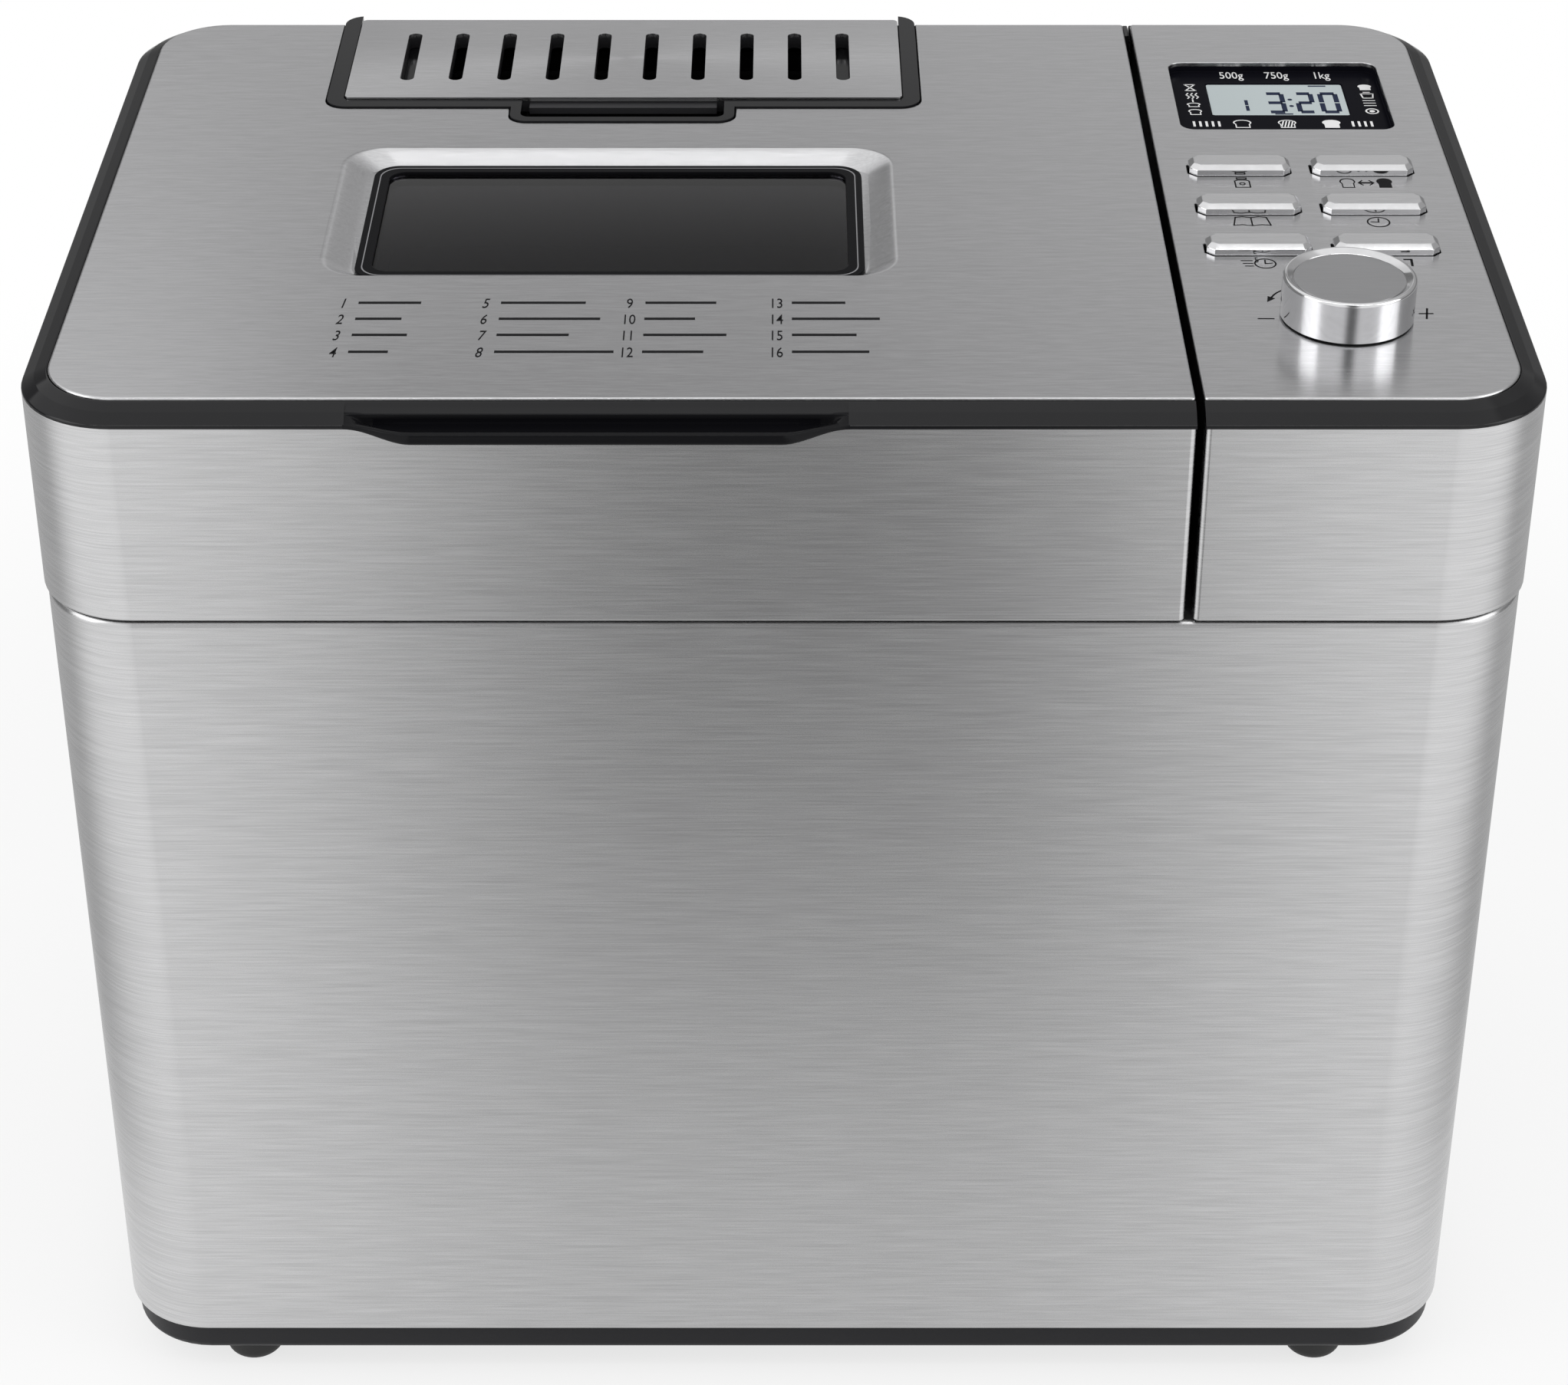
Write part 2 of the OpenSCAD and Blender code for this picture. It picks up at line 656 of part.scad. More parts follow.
// Outline round both pulleys, grown by the given amount
module belt_loop(grow) {
    span = norm([motor_dx, motor_dy]);
    contact = acos((drive_pulley_r - motor_pulley_r) / span);
    a = drive_pulley_r + grow;
    b = motor_pulley_r + grow;
    rotate(atan2(motor_dy, motor_dx)) {
        circle(a);
        translate([span, 0]) circle(b);
        polygon([[a * cos(contact), a * sin(contact)], [span + b * cos(contact), b * sin(contact)],
                 [span + b * cos(contact), -b * sin(contact)], [a * cos(contact), -a * sin(contact)]]);
    }
}
module belt_ring(inner, outer, z, h) {
    translate([mid_x, mid_y, z]) linear_extrude(h) difference() {
        belt_loop(outer);
        belt_loop(inner);
    }
}

module drive_belt() color([0.08, 0.08, 0.08]) {
    rib_pitch = belt_w / rib_n;
    z0 = pulley_z + (pulley_h - belt_w) / 2;
    belt_ring(belt_gap, belt_gap + belt_t, z0, belt_w);
    for (k = [0:rib_n - 1])
        belt_ring(belt_gap - groove_d, belt_gap + belt_t / 2, z0 + (k + 0.5) * rib_pitch - rib_w / 2, rib_w);
}

// Ribbed pulley as a turned profile, with its bore
module pulley(r, hub_r, hub_h) {
    rib_pitch = belt_w / rib_n;
    rotate_extrude() difference() {
        union() {
            translate([shaft_r, 0]) square([r - shaft_r, pulley_h]);
            for (y = [0, pulley_h - 1]) translate([r - 1, y]) square([3.4, 1]);
            translate([shaft_r, 0]) square([hub_r - shaft_r, hub_h]);
        }
        for (k = [0:rib_n - 1])
            translate([r - groove_d - belt_gap, (pulley_h - belt_w) / 2 + (k + 0.5) * rib_pitch - groove_w / 2])
                square([groove_d + belt_gap + over, groove_w]);
        if (r > 3 * hub_r) for (y = [-over, pulley_h / 2 + 1.5])
            translate([hub_r, y]) square([r - 5 - hub_r, pulley_h / 2 - 1.5 + over]);
    }
}

module drive_pulley() color([0.85, 0.85, 0.82]) translate([mid_x, mid_y, pulley_z]) difference() {
    pulley(drive_pulley_r, bearing_r - 2, chassis_z - 4.4 - pulley_z);
    for (a = [0:60:300]) rotate([0, 0, a]) translate([drive_pulley_r / 2 + 2, 0, -over])
        cylinder(h = pulley_h + 2 * over, r = 6);
}
module drive_shaft() color([0.75, 0.75, 0.78])
    translate([mid_x, mid_y, shaft_bottom]) cylinder(h = chamber_z + 5 - shaft_bottom, r = shaft_r);
module drive_coupler() color([0.6, 0.6, 0.62]) translate([mid_x, mid_y, chamber_z + 1.5]) difference() {
    union() {
        cylinder(h = 6, r = 8);
        translate([-16, -4, 0]) cube([32, 8, 3.5]);
        for (s = [-1, 1]) translate([s * 12.5 - 3.5, -4, 0]) cube([7, 8, dog_h]);
    }
    translate([0, 0, -over]) cylinder(h = 3.5 + over, r = shaft_r);
}

module motor_shaft() color([0.75, 0.75, 0.78])
    translate([motor_x, motor_y, shaft_bottom]) cylinder(h = chassis_top + 14 - shaft_bottom, r = shaft_r);
module motor_pulley() color([0.85, 0.85, 0.82]) translate([motor_x, motor_y, pulley_z])
    pulley(motor_pulley_r, 7, pulley_h + 3);

module motor() color([0.45, 0.46, 0.48]) translate([motor_x, motor_y, chassis_top]) difference() {
    union() {
        slab(-motor_r - 6, -motor_r - 6, motor_r + 6, motor_r + 6, 6, 6, 0, 3);
        cylinder(h = motor_h, r = motor_r);
        translate([0, 0, motor_h - 0.1]) cylinder(h = 5, r = 10);
    }
    for (a = [0:30:330]) rotate([0, 0, a]) translate([motor_r - 9, -2, 12]) cube([12, 4, motor_h - 24]);
    translate([0, 0, -over]) cylinder(h = 16 + over, r = shaft_r + run);
}

power_w = 82;
power_d = 72;
power_post = 13;
module power_board() color([0.15, 0.4, 0.25])
        translate([side_x - chassis_edge - 4 - power_w, front_y + chassis_edge + 8, chassis_top]) {
    for (x = [5, power_w - 5], y = [5, power_d - 5]) translate([x, y, 0]) cylinder(h = power_post + 0.2, r = 3);
    translate([0, 0, power_post]) cube([power_w, power_d, board_t]);
    translate([8, 12, 14.5]) cube([34, 30, 28]);
    translate([50, 10, 14.5]) cube([16, 20, 15]);
    translate([50, 36, 14.5]) cube([16, 20, 15]);
    translate([18, 56, 14.5]) cylinder(h = 22, r = 8);
    translate([34, 60, 14.5]) cube([30, 3, 24]);
}

// ---- hinges ----

// Places its children at each hinge, with the pin's axis on X
module at_hinges() {
    for (s = [-1, 1]) translate([mid_x + s * hinge_span / 2, hinge_y, hinge_z]) children();
}

knuckle_w = hinge_w / 4;
module hinge_brackets() color([0.14, 0.14, 0.15]) at_hinges() {
    leaf_y = -hinge_back - inner_inset + seat / 2;
    difference() {
        union() {
            block([-hinge_w / 2, leaf_y, -leaf_h - 4], [hinge_w / 2, leaf_y + leaf_t, -knuckle_r - 0.6]);
            for (s = [-1, 1]) {
                x0 = s < 0 ? -hinge_w / 2 : hinge_w / 2 - knuckle_w;
                block([x0, leaf_y, -knuckle_r - 4], [x0 + knuckle_w, 0, -0.6]);
                rod_x(x0, x0 + knuckle_w, 0, 0, knuckle_r);
            }
        }
        rod_x(-hinge_w / 2 - over, hinge_w / 2 + over, 0, 0, hinge_pin_r + run);
    }
}
module hinge_knuckles() color([0.14, 0.14, 0.15]) at_hinges() {
    half = hinge_w / 2 - knuckle_w - knuckle_gap;
    leaf_y = -hinge_back + seat / 2;
    rod_x(-half, half, 0, 0, knuckle_r);
    block([-half, leaf_y, 0.6], [half, -0.2, knuckle_r + 4]);
    block([-hinge_w / 2, leaf_y, knuckle_r + 0.6], [hinge_w / 2, leaf_y + leaf_t, leaf_h + 4]);
    rod_x(-hinge_w / 2, hinge_w / 2, 0, 0, hinge_pin_r);
}

// ---- shared by lid and column ----

return_l = 5;                                   // the skirt's end folds into the gap by this much
// Steel skirt between x0 and x1; its square side is open behind the two folded ends
module skirt(x0, x1, left_r, right_r, open_x) color("silver") difference() {
    slab(x0, front_y, x1, back_y, left_r, right_r, skirt_z0, skirt_z1);
    slab(x0 + sheet_t, front_y + sheet_t, x1 - sheet_t, back_y - sheet_t,
         left_r - sheet_t, right_r - sheet_t, skirt_z0 - over, skirt_z1 + over);
    block([open_x - 2 * sheet_t, front_y + return_l, skirt_z0 - over],
          [open_x + 2 * sheet_t, back_y - return_l, skirt_z1 + over]);
}

// Rim profile: a chamfer from the skirt up to the plate, with a ledge under the plate
module rim_profile() {
    w = rim_w;
    polygon([[0, skirt_z1], [0, skirt_z1 + 0.5], [-0.4, skirt_z1 + 1], [-w + 0.9, top_z - lip_drop - 0.2],
             [-w + 0.4, top_z - lip_drop], [-w + seat, top_z - lip_drop], [-w + seat, plate_z - seat],
             [-w - ledge_w, plate_z - seat], [-w - ledge_w, ledge_z], [-shell_inner, ledge_z],
             [-shell_inner, skirt_z1]]);
}

// Black moulded lining of a skirt: four walls, a deck under the plate and a taller wall at the gap
end_r = 1.5;
module shell(x0, x1, left_r, right_r, wall_x) {
    i = skirt_inset;
    difference() {
        slab(x0 + i, front_y + i, x1 - i, back_y - i, max(left_r - i, 0.5), max(right_r - i, 0.5),
             skirt_z0 + seat, skirt_z1 - seat);
        slab(x0 + shell_inner, front_y + shell_inner, x1 - shell_inner, back_y - shell_inner,
             max(left_r - shell_inner, 0.5), max(right_r - shell_inner, 0.5), skirt_z0, skirt_z1);
    }
    slab(x0 + shell_inner - 0.5, front_y + shell_inner - 0.5, x1 - shell_inner + 0.5,
         back_y - shell_inner + 0.5, max(left_r - shell_inner, 0.5), max(right_r - shell_inner, 0.5),
         shell_deck_z, min(shell_deck_z + deck_t, skirt_z1 - seat));
    slab(x0 + shell_inner + seat, front_y + shell_inner + seat, x1 - shell_inner - seat,
         back_y - shell_inner - seat, max(left_r - shell_inner, 0.5), max(right_r - shell_inner, 0.5),
         shell_deck_z, shell_deck_z + deck_t);
    end = rim_w + ledge_w + seat;
    block([wall_x, front_y + end, shell_deck_z], [wall_x + shell_t, back_y - end, plate_z - seat]);
}

// ---- control column ----

module control_skirt() skirt(column_x, side_x, end_r, corner_r, column_x);
module control_rim() color([0.05, 0.05, 0.055])
    edge_loop(column_x, front_y, side_x, back_y, corner_r, left = false) rim_profile();

// Places its children at a button: column -1 or 1, row 0 to 2 from the front
module at_button(column, row) {
    translate([panel_x + column * button_pitch_x / 2, front_y + button_y + row * button_pitch_y, 0]) children();
}
button_cut = 2;                                 // corner cut of a button's outline
module button_outline(grow) {
    w = button_w / 2 + grow;
    d = button_d / 2 + grow;
    c = button_cut + grow / 2;
    polygon([[-w + c, -d], [w - c, -d], [w, -d + c], [w, d - c], [w - c, d], [-w + c, d], [-w, d - c], [-w, -d + c]]);
}

module control_plate() color("silver") difference() {
    slab(column_x, front_y + plate_inset, side_x - plate_inset, back_y - plate_inset, 1, plate_r, plate_z, top_z);
    slab(panel_x - display_w / 2, front_y + display_y, panel_x + display_w / 2, front_y + display_y + display_d,
         4, 4, plate_z - over, top_z + over);
    for (c = [-1, 1], r = [0:2]) at_button(c, r) translate([0, 0, plate_z - over])
        linear_extrude(plate_t + 2 * over) button_outline(slide_gap);
    translate([knob_x, front_y + knob_y, plate_z - over]) cylinder(h = plate_t + 2 * over, r = 5.2);
}

module control_shell() color([0.08, 0.08, 0.085]) difference() {
    shell(column_x, side_x, end_r, corner_r, column_x + skirt_inset);
    slab(panel_x - display_w / 2 - 2.6, front_y + display_y - 2.6, panel_x + display_w / 2 + 2.6,
         front_y + display_y + display_d + 2.6, 3, 3, shell_deck_z - over, top_z);
    for (c = [-1, 1], r = [0:2]) at_button(c, r) translate([0, 0, shell_deck_z - over])
        linear_extrude(deck_t + 2 * over) button_outline(button_flange + 0.6);
    slab(knob_x - 9, front_y + knob_y - 9, knob_x + 9, front_y + knob_y + 9, 2, 2,
         shell_deck_z - over, shell_deck_z + deck_t + over);
}

lcd_x0 = panel_x - lcd_w / 2;
lcd_y0 = front_y + display_y + 16.8;
module display_bezel() color([0.02, 0.02, 0.025]) difference() {
    x0 = panel_x - display_w / 2;
    x1 = panel_x + display_w / 2;
    y0 = front_y + display_y;
    y1 = y0 + display_d;
    slab(x0 - 2.3, y0 - 2.3, x1 + 2.3, y1 + 2.3, 3, 3, bezel_z0, plate_z - seat);
    slab(x0 - 0.1, y0 - 0.1, x1 + 0.1, y1 + 0.1, 4, 4, bezel_z1, plate_z);
    slab(lcd_x0, lcd_y0, lcd_x0 + lcd_w, lcd_y0 + lcd_d, 1, 1, bezel_z0 - over, bezel_z1 + over);
}
module display_lcd() color([0.7, 0.78, 0.8])
    slab(lcd_x0 + seat, lcd_y0 + seat, lcd_x0 + lcd_w - seat, lcd_y0 + lcd_d - seat, 0.8, 0.8,
         bezel_z0 - 1.5, bezel_z1 - 0.3);

module control_board() color([0.1, 0.35, 0.2]) {
    block([panel_x - display_w / 2, front_y + knob_y - knob_d / 2 + 1.2, board_z],
          [panel_x + display_w / 2, front_y + display_y + display_d, board_z + board_t]);
    block([lcd_x0 - 3, lcd_y0 - 3, board_z + board_t - 0.1], [lcd_x0 + lcd_w + 3, lcd_y0 + lcd_d + 3, bezel_z0 - 1.5 - seat]);
    for (c = [-1, 1], r = [0:2]) at_button(c, r)
        block([-3, -3, board_z + board_t - 0.1], [3, 3, stem_z - button_travel - 0.3]);
    for (x = [-1, 1], y = [knob_y - 12, display_y + display_d - 6])
        translate([panel_x + x * (display_w / 2 - 4), front_y + y, board_z + board_t - 0.1])
            cylinder(h = shell_deck_z - board_z - board_t - seat + 0.1, r = 2.5);
}

module encoder() color([0.55, 0.56, 0.58]) translate([knob_x, front_y + knob_y, 0]) difference() {
    union() {
        block([-7, -7, board_z + board_t], [7, 7, plate_z - 4]);
        translate([0, 0, plate_z - 4.1]) cylinder(h = 4.1 + plate_t - 0.3, r = 4.6);
    }
    translate([0, 0, board_z + board_t + 1]) cylinder(h = 20, r = 3 + run);
}

module control_knob() color([0.8, 0.8, 0.82]) translate([knob_x, front_y + knob_y, top_z + 0.4]) {
    rotate_extrude() difference() {
        union() {
            square([knob_d / 2 - 1, knob_h]);
            square([knob_d / 2, knob_h - 1]);
            translate([knob_d / 2 - 1, knob_h - 1]) circle(1);
        }
        polygon([[0, knob_h - 1], [knob_d / 2 - 3.6, knob_h - 1], [knob_d / 2 - 1.2, knob_h + over], [0, knob_h + over]]);
    }
    translate([0, 0, board_z + board_t + 1.4 - top_z - 0.4]) cylinder(h = top_z + 0.5 - board_z - board_t - 1.4, r = 3);
}

module button(column, row) color([0.82, 0.82, 0.84]) at_button(column, row) {
    bevel = 1.7;
    translate([0, 0, flange_z0]) linear_extrude(top_z + button_h - bevel - flange_z0) button_outline(0);
    hull() {
        translate([0, 0, top_z + button_h - bevel - 0.01]) linear_extrude(0.01) button_outline(0);
        translate([0, 0, top_z + button_h - 0.01]) linear_extrude(0.01) button_outline(-bevel);
    }
    translate([0, 0, flange_z0]) linear_extrude(flange_z1 - flange_z0) button_outline(button_flange);
    translate([0, 0, stem_z]) cylinder(h = flange_z0 - stem_z + 0.1, r = 2);
}
module button_weight() button(-1, 2);
module button_crust() button(1, 2);
module button_menu() button(-1, 1);
module button_timer() button(1, 1);
module button_express() button(-1, 0);
module button_start() button(1, 0);

// ---- lid ----

module lid_skirt() skirt(-side_x, lid_x, corner_r, end_r, lid_x);

module lid_rim() color([0.05, 0.05, 0.055]) difference() {
    edge_loop(-side_x, front_y, lid_x, back_y, corner_r, right = false) rim_profile();
    block([surround_x0 - seat, back_y - corner_r, skirt_z1 - over], [surround_x1 + seat, back_y + over, top_z + over]);
    handle_cut();
}

// Window outline, set in by inset
module window_slab(inset, z0, z1) {
    slab(win_lo[0] + inset, win_lo[1] + inset, win_hi[0] - inset, win_hi[1] - inset,
         window_r - inset / 2, window_r - inset / 2, z0, z1);
}
// Stamped dish: a soft slope from the plate down to the window
module dish(z) {
    steps = [[0, 0], [0.3, 0.16], [0.72, 0.8], [1, 1]];
    for (k = [0:2]) hull() for (s = [steps[k], steps[k + 1]]) {
        x = dish_side * (1 - s[0]);
        y = dish_end * (1 - s[0]);
        slab(win_lo[0] - x, win_lo[1] - y, win_hi[0] + x, win_hi[1] + y, window_r + x / 2, window_r + x / 2,
             z - dish_depth * s[1], z - dish_depth * s[1] + 0.01, $fn = 48);
    }
}
// Opening of the plate round the dispenser and its finger pocket
module dispenser_outline(grow, z0, z1) {
    slab(surround_x0 - grow, surround_front - grow, surround_x1 + grow, back_y + corner_r, 6, 6, z0, z1);
    slab(mid_x - pocket_w / 2 - grow, pocket_front - grow, mid_x + pocket_w / 2 + grow,
         surround_front + 12, 5, 5, z0, z1);
}

module lid_plate() color("silver") difference() {
    union() {
        slab(-side_x + plate_inset, front_y + plate_inset, lid_x, back_y - plate_inset, plate_r, 1, plate_z, top_z);
        dish(plate_z);
    }
    dish(top_z);
    window_slab(1, top_z - dish_depth - 3, top_z + over);
    dispenser_outline(seat, plate_z - over, top_z + over);
}

// Plan outline of the handle lip: S-shaped ends between the rim and the straight lip
handle_end = 17;
handle_steps = 10;
function s_curve(t) = t * t * (3 - 2 * t);
function handle_edge(grow, out) = concat(
    [for (k = [0:handle_steps]) [-handle_w / 2 - grow + handle_end * k / handle_steps, -out * s_curve(k / handle_steps)]],
    [for (k = [handle_steps:-1:0]) [handle_w / 2 + grow - handle_end * k / handle_steps, -out * s_curve(k / handle_steps)]]);
handle_top = skirt_z1 + 1.1;
handle_back = 3;
handle_edge_w = 1.6;
module handle_slab(grow, out, back, z0, z1) {
    translate([mid_x, front_y, z0]) linear_extrude(z1 - z0)
        polygon(concat([[-handle_w / 2 - grow, back]], handle_edge(grow, out), [[handle_w / 2 + grow, back]]));
}
module handle_cut() {
    handle_slab(seat, 1, handle_back + seat, skirt_z1 - over, handle_top + 1.5);
}
module lid_handle() color([0.05, 0.05, 0.055]) difference() {
    bottom = handle_top - handle_h;
    front = front_y - handle_out + handle_edge_w;
    half = handle_w / 2 - handle_end + handle_edge_w;
    handle_slab(0, handle_out, handle_back, bottom, handle_top);
    // room for the skirt under the rear half
    block([-side_x, front_y - seat, bottom - over], [side_x, front_y + corner_r, skirt_z1]);
    // shallow shelf behind a raised edge, deeper in front of the skirt
    handle_slab(-handle_edge_w, handle_out - handle_edge_w, handle_back - 1, handle_top - 0.5, handle_top + over);
    block([mid_x - half, front, handle_top - 1.5], [mid_x + half, front_y - 1, handle_top]);
    // groove for the fingertips
    block([mid_x - half, front, bottom - over], [mid_x + half, front_y - 1, bottom + 0.7]);
}

module lid_shell() color([0.08, 0.08, 0.085]) difference() {
    union() {
        difference() {
            shell(-side_x, lid_x, corner_r, end_r, lid_x - shell_inner);
            slab(win_lo[0] - dish_side - 0.6, win_lo[1] - dish_end - 0.6, win_hi[0] + dish_side + 0.6,
                 win_hi[1] + dish_end + 0.6, window_r, window_r, shell_deck_z - over, top_z);
        }
        difference() {
            union() {
                slab(win_lo[0] - shell_t - 0.4, win_lo[1] - shell_t - 0.4, win_hi[0] + shell_t + 0.4,
                     win_hi[1] + shell_t + 0.4, window_r, window_r, tunnel_z, top_z - dish_depth - plate_t - 2.6);
                slab(win_lo[0] - dish_side - 2, win_lo[1] - dish_end - 2, win_hi[0] + dish_side + 2,
                     win_hi[1] + dish_end + 2, window_r, window_r, shell_deck_z - 2.6, shell_deck_z - 0.6);
                slab(win_lo[0] - dish_side - 2, win_lo[1] - dish_end - 2, win_hi[0] + dish_side + 2,
                     win_hi[1] + dish_end + 2, window_r, window_r, shell_deck_z - 0.7, shell_deck_z + 0.1);
            }
            window_slab(-0.4, tunnel_z - over, top_z);
            slab(win_lo[0] - dish_side - 0.6, win_lo[1] - dish_end - 0.6, win_hi[0] + dish_side + 0.6,
                 win_hi[1] + dish_end + 0.6, window_r, window_r, shell_deck_z - 0.6, top_z);
        }
    }
    dispenser_outline(seat, surround_z - seat, top_z + over);
}

module lid_liner() color([0.5, 0.5, 0.5]) difference() {
    union() {
        mouth(liner_side + liner_t, liner_z, ceiling_z + liner_t);
        slab(-side_x + shell_inner + seat, front_y + shell_inner + seat, lid_x - shell_inner - seat,
             back_y - shell_inner - seat, corner_r - shell_inner, 1, liner_z, liner_z + 1.2);
    }
    mouth(liner_side, liner_z - over, ceiling_z);
    window_slab(8, ceiling_z - over, ceiling_z + liner_t + over);
    block([mid_x - outlet_w / 2 - ear_t - 3, outlet_y0 - 0.8, ceiling_z - over],
          [plunger_x + 5, door_axis_y + 4.4, ceiling_z + liner_t + over]);
}

module lid_seal() color([0.75, 0.3, 0.2]) difference() {
    mouth(mouth_gap + 7, deck_top + 0.3, liner_z);
    mouth(mouth_gap + 3, deck_top, liner_z + over);
}

module window_gasket() color([0.03, 0.03, 0.03]) difference() {
    floor_z = top_z - dish_depth;
    union() {
        window_slab(0.1, floor_z + 0.05, floor_z + gasket_lip);
        window_slab(gasket_neck, pane_z - 0.4, floor_z + 0.1);
    }
    window_slab(gasket_w, pane_z - over, top_z);
    window_slab(pane_edge - 0.1, pane_z - over, pane_z + pane_t + 0.1);
}

module window_panes() color([0.2, 0.2, 0.24, 0.5]) {
    window_slab(pane_edge, pane_z, pane_z + pane_t);
    window_slab(pane_edge, tunnel_z, tunnel_z + pane_t);
}

// ---- dispenser ----

module dispenser_surround() color([0.06, 0.06, 0.065]) difference() {
    union() {
        slab(surround_x0, surround_front, surround_x1, surround_back, 6, 1, surround_z, sill_z);
        slab(surround_x0, surround_front, surround_x1, surround_back, 6, 6, surround_z, surround_top);
        slab(mid_x - pocket_w / 2, pocket_front, mid_x + pocket_w / 2, surround_front + 12, 5, 5,
             surround_z, surround_top);
    }
    // well of the flap, open to the back over the sill
    slab(well_x0, surround_front + surround_w, well_x1, mouth_y1 + 2, 2, 2, well_z, surround_top + over);
    block([well_x0, mouth_y1 - 2, sill_z], [well_x1, surround_back + over, surround_top + over]);
    // mouth of the tub
    slab(tub_x0 + tub_t, mouth_y0, tub_x1 - tub_t, mouth_y1, 3, 3, surround_z - over, well_z + over);
    // finger pocket
    slab(mid_x - pocket_w / 2 + pocket_wall, pocket_front + pocket_wall, mid_x + pocket_w / 2 - pocket_wall,
         surround_front + 9, 2.5, 2.5, pocket_z, surround_top + over);
    for (s = [-1, 1]) rod_x(s < 0 ? well_x0 - stub_l - 0.4 : well_x1 - over, s < 0 ? well_x0 + over : well_x1 + stub_l + 0.4,
                            flap_axis_y, flap_axis_z, stub_r + run);
}

module dispenser_box() color([0.1, 0.1, 0.1]) difference() {
    union() {
        block([tub_x0, tub_y0, tub_z0], [tub_x1, tub_y1, tub_z1]);
        block([mid_x - outlet_w / 2, outlet_y0, ceiling_z], [mid_x + outlet_w / 2, outlet_y1, tub_z0 + over]);
        for (s = [-1, 1]) {
            x0 = s < 0 ? mid_x - outlet_w / 2 - ear_t - seat : mid_x + outlet_w / 2 + seat;
            block([x0, door_axis_y - 3.4, door_axis_z], [x0 + ear_t, door_axis_y + 3.4, tub_z0 + over]);
            rod_x(x0, x0 + ear_t, door_axis_y, door_axis_z, 3.4);
        }
    }
    block([tub_x0 + tub_t, tub_y0 + tub_t, tub_z0 + tub_t], [tub_x1 - tub_t, tub_y1 - tub_t, tub_z1 - tub_t]);
    slab(tub_x0 + tub_t, mouth_y0, tub_x1 - tub_t, mouth_y1, 3, 3, tub_z1 - tub_t - over, tub_z1 + over);
    block([mid_x - outlet_w / 2 + 3, outlet_y0 + 3, ceiling_z - over],
          [mid_x + outlet_w / 2 - 3, outlet_y1 - 3, tub_z0 + tub_t + over]);
    rod_x(mid_x - outlet_w, mid_x + outlet_w, door_axis_y, door_axis_z, stub_r + run);
}

module trapdoor() color([0.12, 0.12, 0.12]) {
    x0 = mid_x - outlet_w / 2;
    x1 = mid_x + outlet_w / 2;
    block([x0 + 1, outlet_y0 + 1, door_top - door_t], [x1 - 1, door_axis_y, door_top]);
    block([x1 - 2, plunger_y - 4, door_top - door_t], [plunger_x + 4, plunger_y + 1.7, door_top]);
    rod_x(x0 + 0.3, x1 - 0.3, door_axis_y, door_axis_z, door_barrel_r);
    rod_x(x0 - 3, x1 + 3, door_axis_y, door_axis_z, stub_r);
}

module dispenser_solenoid() color([0.6, 0.55, 0.4]) difference() {
    block([plunger_x - 6, plunger_y - 10, solenoid_z], [plunger_x + 16, plunger_y + 10, tub_z1]);
    translate([plunger_x, plunger_y, solenoid_z - over]) cylinder(h = 12 + over, r = plunger_r + run);
}
module solenoid_plunger() color([0.8, 0.8, 0.8]) translate([plunger_x, plunger_y, door_top + 0.4]) {
    cylinder(h = 2, r1 = 0.5, r2 = plunger_r);
    translate([0, 0, 2]) cylinder(h = solenoid_z + 8.6 - door_top, r = plunger_r);
}

module slots(z0, z1) {
    r = slot_w / 2 - 0.01;
    y = front_y + flap_y + 12.5;
    for (k = [0:slot_n - 1]) {
        x = mid_x - (slot_n - 1) * slot_pitch / 2 + k * slot_pitch;
        slab(x - slot_w / 2, y, x + slot_w / 2, y + slot_l, r, r, z0, z1);
    }
}
module flap_plate() color("silver") difference() {
    slab(flap_x0, front_y + flap_y, flap_x1, flap_axis_y - 1.5, 1.5, 1.5, frame_z1, flap_top);
    slots(frame_z1 - over, flap_top + over);
}
tab_w = 54;
module flap_frame() color([0.07, 0.07, 0.075]) difference() {
    union() {
        slab(flap_x0 + 0.4, front_y + flap_y + 0.4, flap_x1 - 0.4, mouth_y1 + 1.4, 1.2, 1.2, frame_z0, frame_z1 - seat / 2);
        block([flap_x0 + 0.4, mouth_y1, frame_z0 + 0.4], [flap_x1 - 0.4, flap_axis_y, frame_z1 - seat]);
        rod_x(flap_x0, flap_x1, flap_axis_y, flap_axis_z, flap_barrel_r);
        rod_x(flap_x0 - stub_l, flap_x1 + stub_l, flap_axis_y, flap_axis_z, stub_r);
        block([mid_x - tab_w / 2, front_y + flap_y - 3.6, frame_z0 + 1], [mid_x + tab_w / 2, front_y + flap_y + 2, frame_z1 - 0.5]);
    }
    slots(frame_z0 - over, frame_z1 + over);
}

// ---- pan ----

